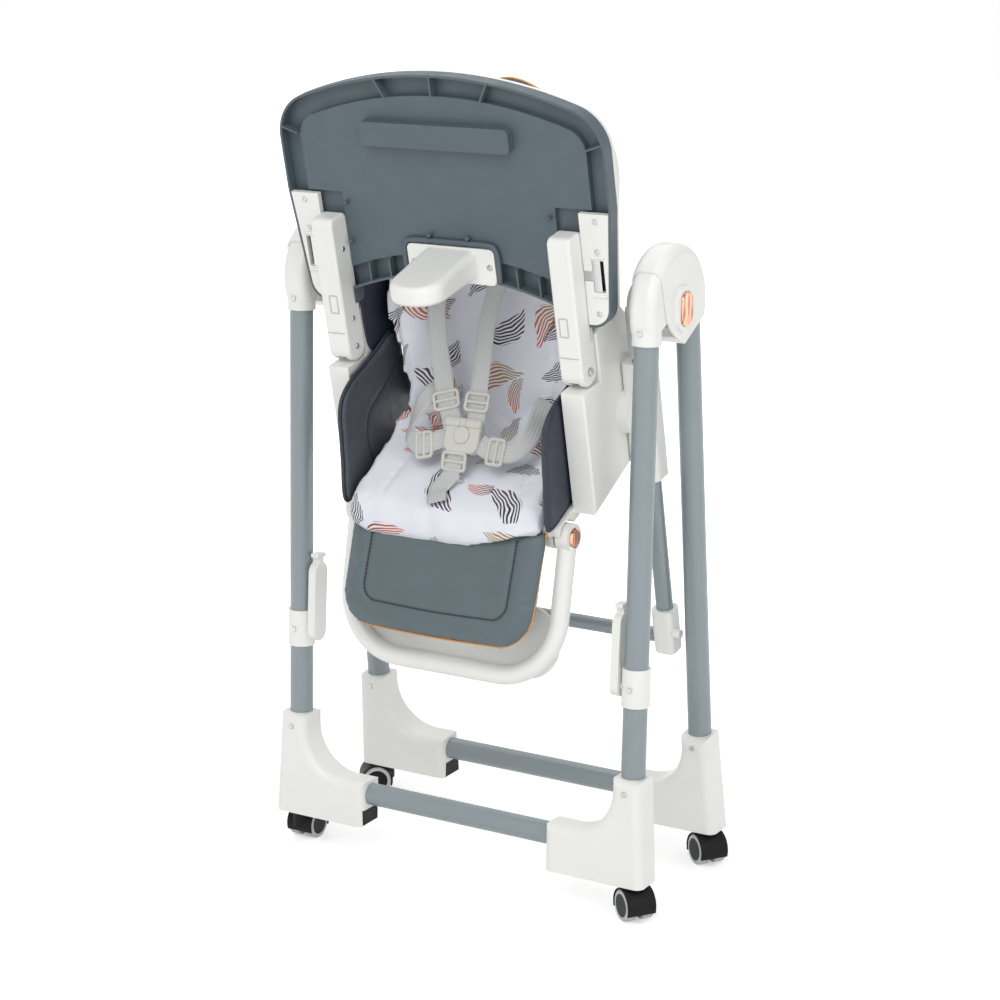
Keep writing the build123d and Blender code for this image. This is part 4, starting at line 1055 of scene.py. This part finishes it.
class HIGHCHAIR_OT_harness(bpy.types.Operator):
    """Shoulder, waist and crotch webbing with its adjusters, slack over the seat."""

    bl_idname = "high_chair.harness"
    bl_label = "Harness"

    def execute(self, context):
        sizes = context.scene.high_chair_sizes
        front = (0, -0.83, 0.56)
        shoulders = {
            "right": (
                [(-15, -97, -150), (-24, -86, -138), (-34, -76, -123), (-46, -58, -97), (-60, -38, -66)]
                + [(-70, -16, -26), (-66, 8, 16), (-52, 28, 52), (-44, 46, 92), (-40, 62, 112)],
                [(0.2, -0.83, 0.56)] * 5 + [(0.1, -0.95, 0.3)] * 5,
            ),
            "left": (
                [(13, -96, -149), (14, -86, -136), (12, -76, -122), (10, -64, -104), (7, -44, -76)]
                + [(6, -24, -40), (14, 2, 8), (28, 26, 48), (38, 46, 92), (40, 62, 112)],
                [front] * 5 + [(0, -0.95, 0.3)] * 5,
            ),
        }
        for name, (points, dirs) in shoulders.items():
            strap = webbing(f"shoulder_strap_{name}", harness_path(points), flat_dirs(dirs), sizes)
            if name == "left":
                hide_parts("shoulder_straps")
            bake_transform(strap)
        laps = {
            "lap_strap_right": (
                [(-24, -101, -162), (-40, -106, -168), (-56, -110, -173), (-70, -106, -168), (-77, -98, -156)]
                + [(-72, -88, -140), (-62, -74, -122), (-52, -56, -116), (-48, -34, -130), (-54, -12, -150)],
                [(0, -0.8, 0.6)] * 4 + [(-0.8, -0.6, 0.5), (-0.5, -0.7, 0.5)] + [(0, -0.7, 0.7)] * 4,
            ),
            "lap_strap_left": (
                [(24, -103, -165), (40, -107, -170), (58, -108, -171), (76, -106, -168), (91, -96, -154)]
                + [(97, -82, -136), (96, -62, -124), (90, -40, -128), (82, -16, -146)],
                [(0, -0.8, 0.6)] * 4 + [(0.5, -0.7, 0.5), (0.8, -0.5, 0.5)] + [(0.4, -0.5, 0.8)] * 3,
            ),
            "crotch_strap": (
                [(-2, -112, -176), (-6, -118, -186), (-8, -124, -196), (-5, -132, -206), (-2, -128, -213)],
                [(0, -0.9, 0.4)] * 3 + [(0, -0.95, 0.1)] * 2,
            ),
            "crotch_tab": (
                [(-4, -124, -197), (-10, -136, -204), (-14, -150, -211), (-10, -162, -214), (-5, -170, -217)],
                [(0, -0.7, 0.7)] * 3 + [(0, -0.3, 0.95)] * 2,
            ),
        }
        for name, (points, dirs) in laps.items():
            strap = webbing(name, harness_path(points), flat_dirs(dirs), sizes)
            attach(strap, "seat")
            if name == "lap_strap_left":
                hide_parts("lap_straps")
        glides = {
            "adjuster_shoulder_right": ((-33, -78, -123), (-0.35, 0.55, 0.76), (0.2, -0.83, 0.56)),
            "adjuster_shoulder_left": ((12, -78, -121), (0, 0.55, 0.8), front),
            "adjuster_lap_right": ((-53, -110.5, -172.5), (1, 0.15, 0.2), (0, -0.8, 0.6)),
            "adjuster_lap_left": ((50, -109, -170.5), (1, 0, 0), (0, -0.8, 0.6)),
            "adjuster_crotch": ((-6, -119.5, -185.5), (0, -0.4, -0.9), (0, -0.9, 0.4)),
        }
        for name, (centre, along, out) in glides.items():
            tri_glide(name, seat_point(*centre), *flat_dirs([along, out]))
        buckle = ("buckle", "seat", "buckle")
        for name, x in (("right", -16.0), ("left", 14.0)):
            points = [(x + d, -94.5, -143) for d in (-10, 0, 10)]
            seat_tube(f"latch_tab_{name}", points, 3.2, *buckle, sides=14, flat=1.9, steps=4)
        return {"FINISHED"}


# Rings of a screw head: how far out and how high, as shares of its radius, with a cross slot in the middle.
SCREW_SIDES = 16
SCREW_ROUND = ((1.0, 0.0), (1.0, 0.2), (0.86, 0.42), (0.62, 0.5))
SCREW_SLOT = (0.5, 0.2, 0.17, 0.2) * 4
SCREW_SLOT_HEIGHTS = (0.5, 0.16)


def screw_heads(name, places, out, radius, body):
    """Cross-slotted screw heads at the places, as one piece on a body."""
    out = np.array(tuple(Vector(out).normalized()))
    side = unit(np.cross(out, (0.31, 0.52, 0.79)))
    rise = np.cross(out, side)
    rings = [((reach,) * SCREW_SIDES, height) for reach, height in SCREW_ROUND]
    rings += [(SCREW_SLOT, height) for height in SCREW_SLOT_HEIGHTS]
    verts, faces = [], []
    for place in places:
        faces += ring_faces(len(verts), len(rings), SCREW_SIDES)
        for reaches, height in rings:
            for k, reach in enumerate(reaches):
                angle = 2 * pi * k / SCREW_SIDES
                turn = side * cos(angle) + rise * sin(angle)
                verts.append(np.array(tuple(place)) + radius * MM * (turn * reach + out * height))
    heads = new_piece(name, verts, faces, "steel")
    for face in heads.data.polygons:
        face.use_smooth = False
    fit(heads, body)


# Millimetres back of the hub: the tray's underside, the screws of the arms and the face of the arms.
TRAY_FACE = -77.0
ARM_SCREWS = -85.5
ARM_FACE = -104
ARM_NOTCH = [(157, -9), (157, 14), (168, 14), (168, -9)]
PEG_DEPTHS = (-71, -75, -79)


class HIGHCHAIR_OT_fittings(bpy.types.Operator):
    """Screws, pegs and ridges of the tray, and thin dark lines on its arms: painted shade of a notch and of a
    groove round each arm.
    """

    bl_idname = "high_chair.fittings"
    bl_label = "Small fittings"

    def execute(self, context):
        rail = ((203, 128), (202, 91), (197, 13))
        places = [seat_point(s * x, TRAY_FACE, z) for s, _ in SIDES for x, z in rail]
        screw_heads("rail_screws", places, -SEAT_BACK, 3.4, "tray")
        places = [seat_point(s * 53, TRAY_FACE + 1.4, 58.5) for s, _ in SIDES]
        screw_heads("post_screws", places, -SEAT_BACK, 3.4, "tray")
        groove_shade = ("seam_shade", "tray_arms", "white_plastic")
        white = ("white_plastic", "tray", "white_plastic")
        slate = ("slate_plastic", "tray", "slate_plastic")
        for s, name in SIDES:
            outer = [seat_point(s * 182.6, ARM_SCREWS, -59)]
            screw_heads(f"arm_screw_{name}", outer, ACROSS * s, 4.6, "tray_arms")
            inner = [seat_point(s * 150, ARM_SCREWS, z) for z in (-59, -22, 70)]
            screw_heads(f"arm_inner_screws_{name}", inner, -ACROSS * s, 3.2, "tray_arms")
            # The notch outline and the line across the arm are thin tubes in a darker white: painted shade of a
            # recessed notch and groove.
            notch = [(s * x, ARM_FACE, z) for x, z in along_sides(ARM_NOTCH, (0.1, 0.5, 0.9))]
            seat_tube(f"arm_notch_painted_shade_{name}", notch, 0.9, *groove_shade, closed=True, steps=4)
            seam = [(s * x, y, -36) for x, y in ((153, -103.4), (165, ARM_FACE), (178, -103.4))]
            seat_tube(f"arm_groove_painted_shade_{name}", seam, 0.9, *groove_shade, steps=4)
            for end, z in (("top", 84), ("low", 36)):
                rib = [(s * x, TRAY_FACE - 1, z) for x in (192, 201, 210)]
                seat_tube(f"rail_rib_{end}_{name}", rib, 1.6, *white, steps=4)
            pegs = ((f"peg_{name}_0", 142, 128), (f"peg_{name}_1", 142, 78), (f"boss_{name}", 27, 94))
            for peg, x, z in pegs:
                points = [(s * x, y, z) for y in PEG_DEPTHS]
                seat_tube(f"tray_{peg}", points, 2.6, *slate, sides=14, steps=3)
        rim = [(-65.5, 40), (-65.5, 70), (-63, 81), (-53, 86.5), (0, 87)]
        rim += [(-x, z) for x, z in reversed(rim[:-1])]
        seat_tube("post_frame", [(x, -75.5, z) for x, z in rim], 3.4, *slate, sides=12, steps=6)
        return {"FINISHED"}


SHELL_BACK = 30.0


class HIGHCHAIR_OT_back_shell(bpy.types.Operator):
    """Moulded bead, ribs and screws on the back of the backrest shell."""

    bl_idname = "high_chair.back_shell"
    bl_label = "Backrest shell"

    def execute(self, context):
        ring = [back_point(x, SHELL_BACK, t) for x, t in round_corners(112, 66, 268, 44, 5)]
        beads = [round_tube("shell_bead", ring, 2.4 * MM, "white_plastic", closed=True, steps=6)]
        for k, x in enumerate((-60, -20, 20, 60)):
            points = [back_point(x, SHELL_BACK, t) for t in (96, 130, 170, 205, 238)]
            beads.append(round_tube(f"shell_rib_{k}", points, 1.8 * MM, "white_plastic"))
        for bead in beads:
            fit(bead, "backrest")
        places = [back_point(x, SHELL_BACK, t) for x in (-126, 126) for t in (130, 290)]
        screw_heads("shell_screws", places, BACK_DEPTH, 4.0, "backrest")
        return {"FINISHED"}


class HIGHCHAIR_OT_finishes(bpy.types.Operator):
    """Finishes on every solid of the chair."""

    bl_idname = "high_chair.finishes"
    bl_label = "Finishes"

    def execute(self, context):
        colours = context.scene.high_chair_colours
        make_finishes(colours, context.scene.high_chair_sizes)
        slots = {part["node"]: part["material_slot"] for part in frame["record"]["subparts"]}
        for node, solid in frame["nodes"].items():
            if node.startswith("caster_wheels_"):
                corner = node.removeprefix("caster_wheels_")
                finish = wheel_finish(f"wheel_{corner}", f"roll_{corner}", colours.black, colours.tyre)
            elif node.startswith("tray_catch_"):
                finish = FINISHES["steel"]
            else:
                finish = FINISHES[slots[node]]
            solid.data.materials.clear()
            solid.data.materials.append(finish)
        return {"FINISHED"}


def aim(piece, target):
    """Turns a camera or lamp to a point."""
    piece.rotation_euler = (Vector(target) - piece.location).to_track_quat("-Z", "Y").to_euler()


def soft_lamp(name, place, size, power):
    """Large square lamp turned to the middle of the chair."""
    data = bpy.data.lights.new(name, "AREA")
    data.size = size
    data.energy = power
    lamp = bpy.data.objects.new(name, data)
    bpy.context.scene.collection.objects.link(lamp)
    lamp.location = place
    aim(lamp, (0, 0, 0.5))


def seen_directly(tree):
    """One where the camera or a reflection looks at a surface, and nought for its light on others."""
    rays = add_node(tree, "ShaderNodeLightPath").outputs
    return math_node(tree, "MAXIMUM", rays["Is Camera Ray"], rays["Is Glossy Ray"])


WHITE = (1, 1, 1, 1)
FLOOR_REACH = 12.0


class HIGHCHAIR_OT_stage(bpy.types.Operator):
    """White floor, soft lamps and the camera."""

    bl_idname = "high_chair.stage"
    bl_label = "Studio"

    def execute(self, context):
        scene = context.scene
        stage = scene.high_chair_stage
        data = bpy.data.cameras.new("camera")
        data.lens = stage.lens
        camera = bpy.data.objects.new("camera", data)
        scene.collection.objects.link(camera)
        camera.location = stage.camera
        aim(camera, stage.target)
        scene.camera = camera
        corners = [(x * FLOOR_REACH, y * FLOOR_REACH, 0) for x, y in ((-1, -1), (1, -1), (1, 1), (-1, 1))]
        floor_mesh = bpy.data.meshes.new("floor")
        floor_mesh.from_pydata(corners, [], [(0, 1, 2, 3)])
        floor = bpy.data.objects.new("floor", floor_mesh)
        scene.collection.objects.link(floor)
        finish, tree, shader = new_finish("white_floor")
        glow = ranged(tree, length_of(tree, object_place(tree)), 0.4, 1.4, 0.4, 1.0)
        looks = {
            "Base Color": (0.93, 0.93, 0.93, 1),
            "Roughness": 0.9,
            "Specular IOR Level": 0.0,
            "Emission Color": WHITE,
            "Emission Strength": math_node(tree, "MULTIPLY", seen_directly(tree), glow),
        }
        set_inputs(tree, shader, looks)
        floor_mesh.materials.append(finish)
        world = bpy.data.worlds.new("studio")
        scene.world = world
        world.use_nodes = True
        tree = world.node_tree
        through = add_node(tree, "ShaderNodeLightPath").outputs["Is Transmission Ray"]
        seen = math_node(tree, "MAXIMUM", seen_directly(tree), through)
        strength = ranged(tree, seen, 0.0, 1.0, stage.sky, 1.0)
        set_inputs(tree, tree.nodes["Background"], {"Color": WHITE, "Strength": strength})
        soft_lamp("key", (0.4, -2.6, 2.9), 2.2, stage.key)
        soft_lamp("fill", (2.8, -1.2, 1.6), 2.0, stage.fill)
        soft_lamp("top", (-1.0, 1.4, 3.0), 2.4, stage.fill)
        scene.view_settings.view_transform = "Standard"
        return {"FINISHED"}


class HIGHCHAIR_PT_dressing(bpy.types.Panel):
    """Dressing of the high chair, piece by piece."""

    bl_idname = "HIGHCHAIR_PT_dressing"
    bl_label = "High chair"
    bl_space_type = "VIEW_3D"
    bl_region_type = "UI"
    bl_category = "High chair"

    def draw(self, context):
        scene = context.scene
        for operator in OPERATORS:
            self.layout.operator(operator.bl_idname)
        for settings in (scene.high_chair_colours, scene.high_chair_sizes, scene.high_chair_stage):
            column = self.layout.column()
            for key in settings.bl_rna.properties.keys():
                if key not in ("rna_type", "name"):
                    column.prop(settings, key)


OPERATORS = (
    HIGHCHAIR_OT_finishes,
    HIGHCHAIR_OT_liner,
    HIGHCHAIR_OT_back_border,
    HIGHCHAIR_OT_wings,
    HIGHCHAIR_OT_calf_pad,
    HIGHCHAIR_OT_harness,
    HIGHCHAIR_OT_fittings,
    HIGHCHAIR_OT_back_shell,
    HIGHCHAIR_OT_stage,
)
CLASSES = (ChairColours, ChairSizes, StageSettings) + OPERATORS + (HIGHCHAIR_PT_dressing,)


def register():
    """Registers the classes and hangs the settings on the scene."""
    for item in CLASSES:
        bpy.utils.register_class(item)
    bpy.types.Scene.high_chair_colours = PointerProperty(type=ChairColours)
    bpy.types.Scene.high_chair_sizes = PointerProperty(type=ChairSizes)
    bpy.types.Scene.high_chair_stage = PointerProperty(type=StageSettings)


def unregister():
    """Takes the settings and classes away again."""
    del bpy.types.Scene.high_chair_stage
    del bpy.types.Scene.high_chair_sizes
    del bpy.types.Scene.high_chair_colours
    for item in reversed(CLASSES):
        bpy.utils.unregister_class(item)


def main():
    """Dresses the chair piece by piece."""
    register()
    bpy.ops.high_chair.finishes()
    bpy.ops.high_chair.liner()
    bpy.ops.high_chair.back_border()
    bpy.ops.high_chair.wings()
    bpy.ops.high_chair.calf_pad()
    bpy.ops.high_chair.harness()
    bpy.ops.high_chair.fittings()
    bpy.ops.high_chair.back_shell()
    bpy.ops.high_chair.stage()


if __name__ == "__main__":
    main()
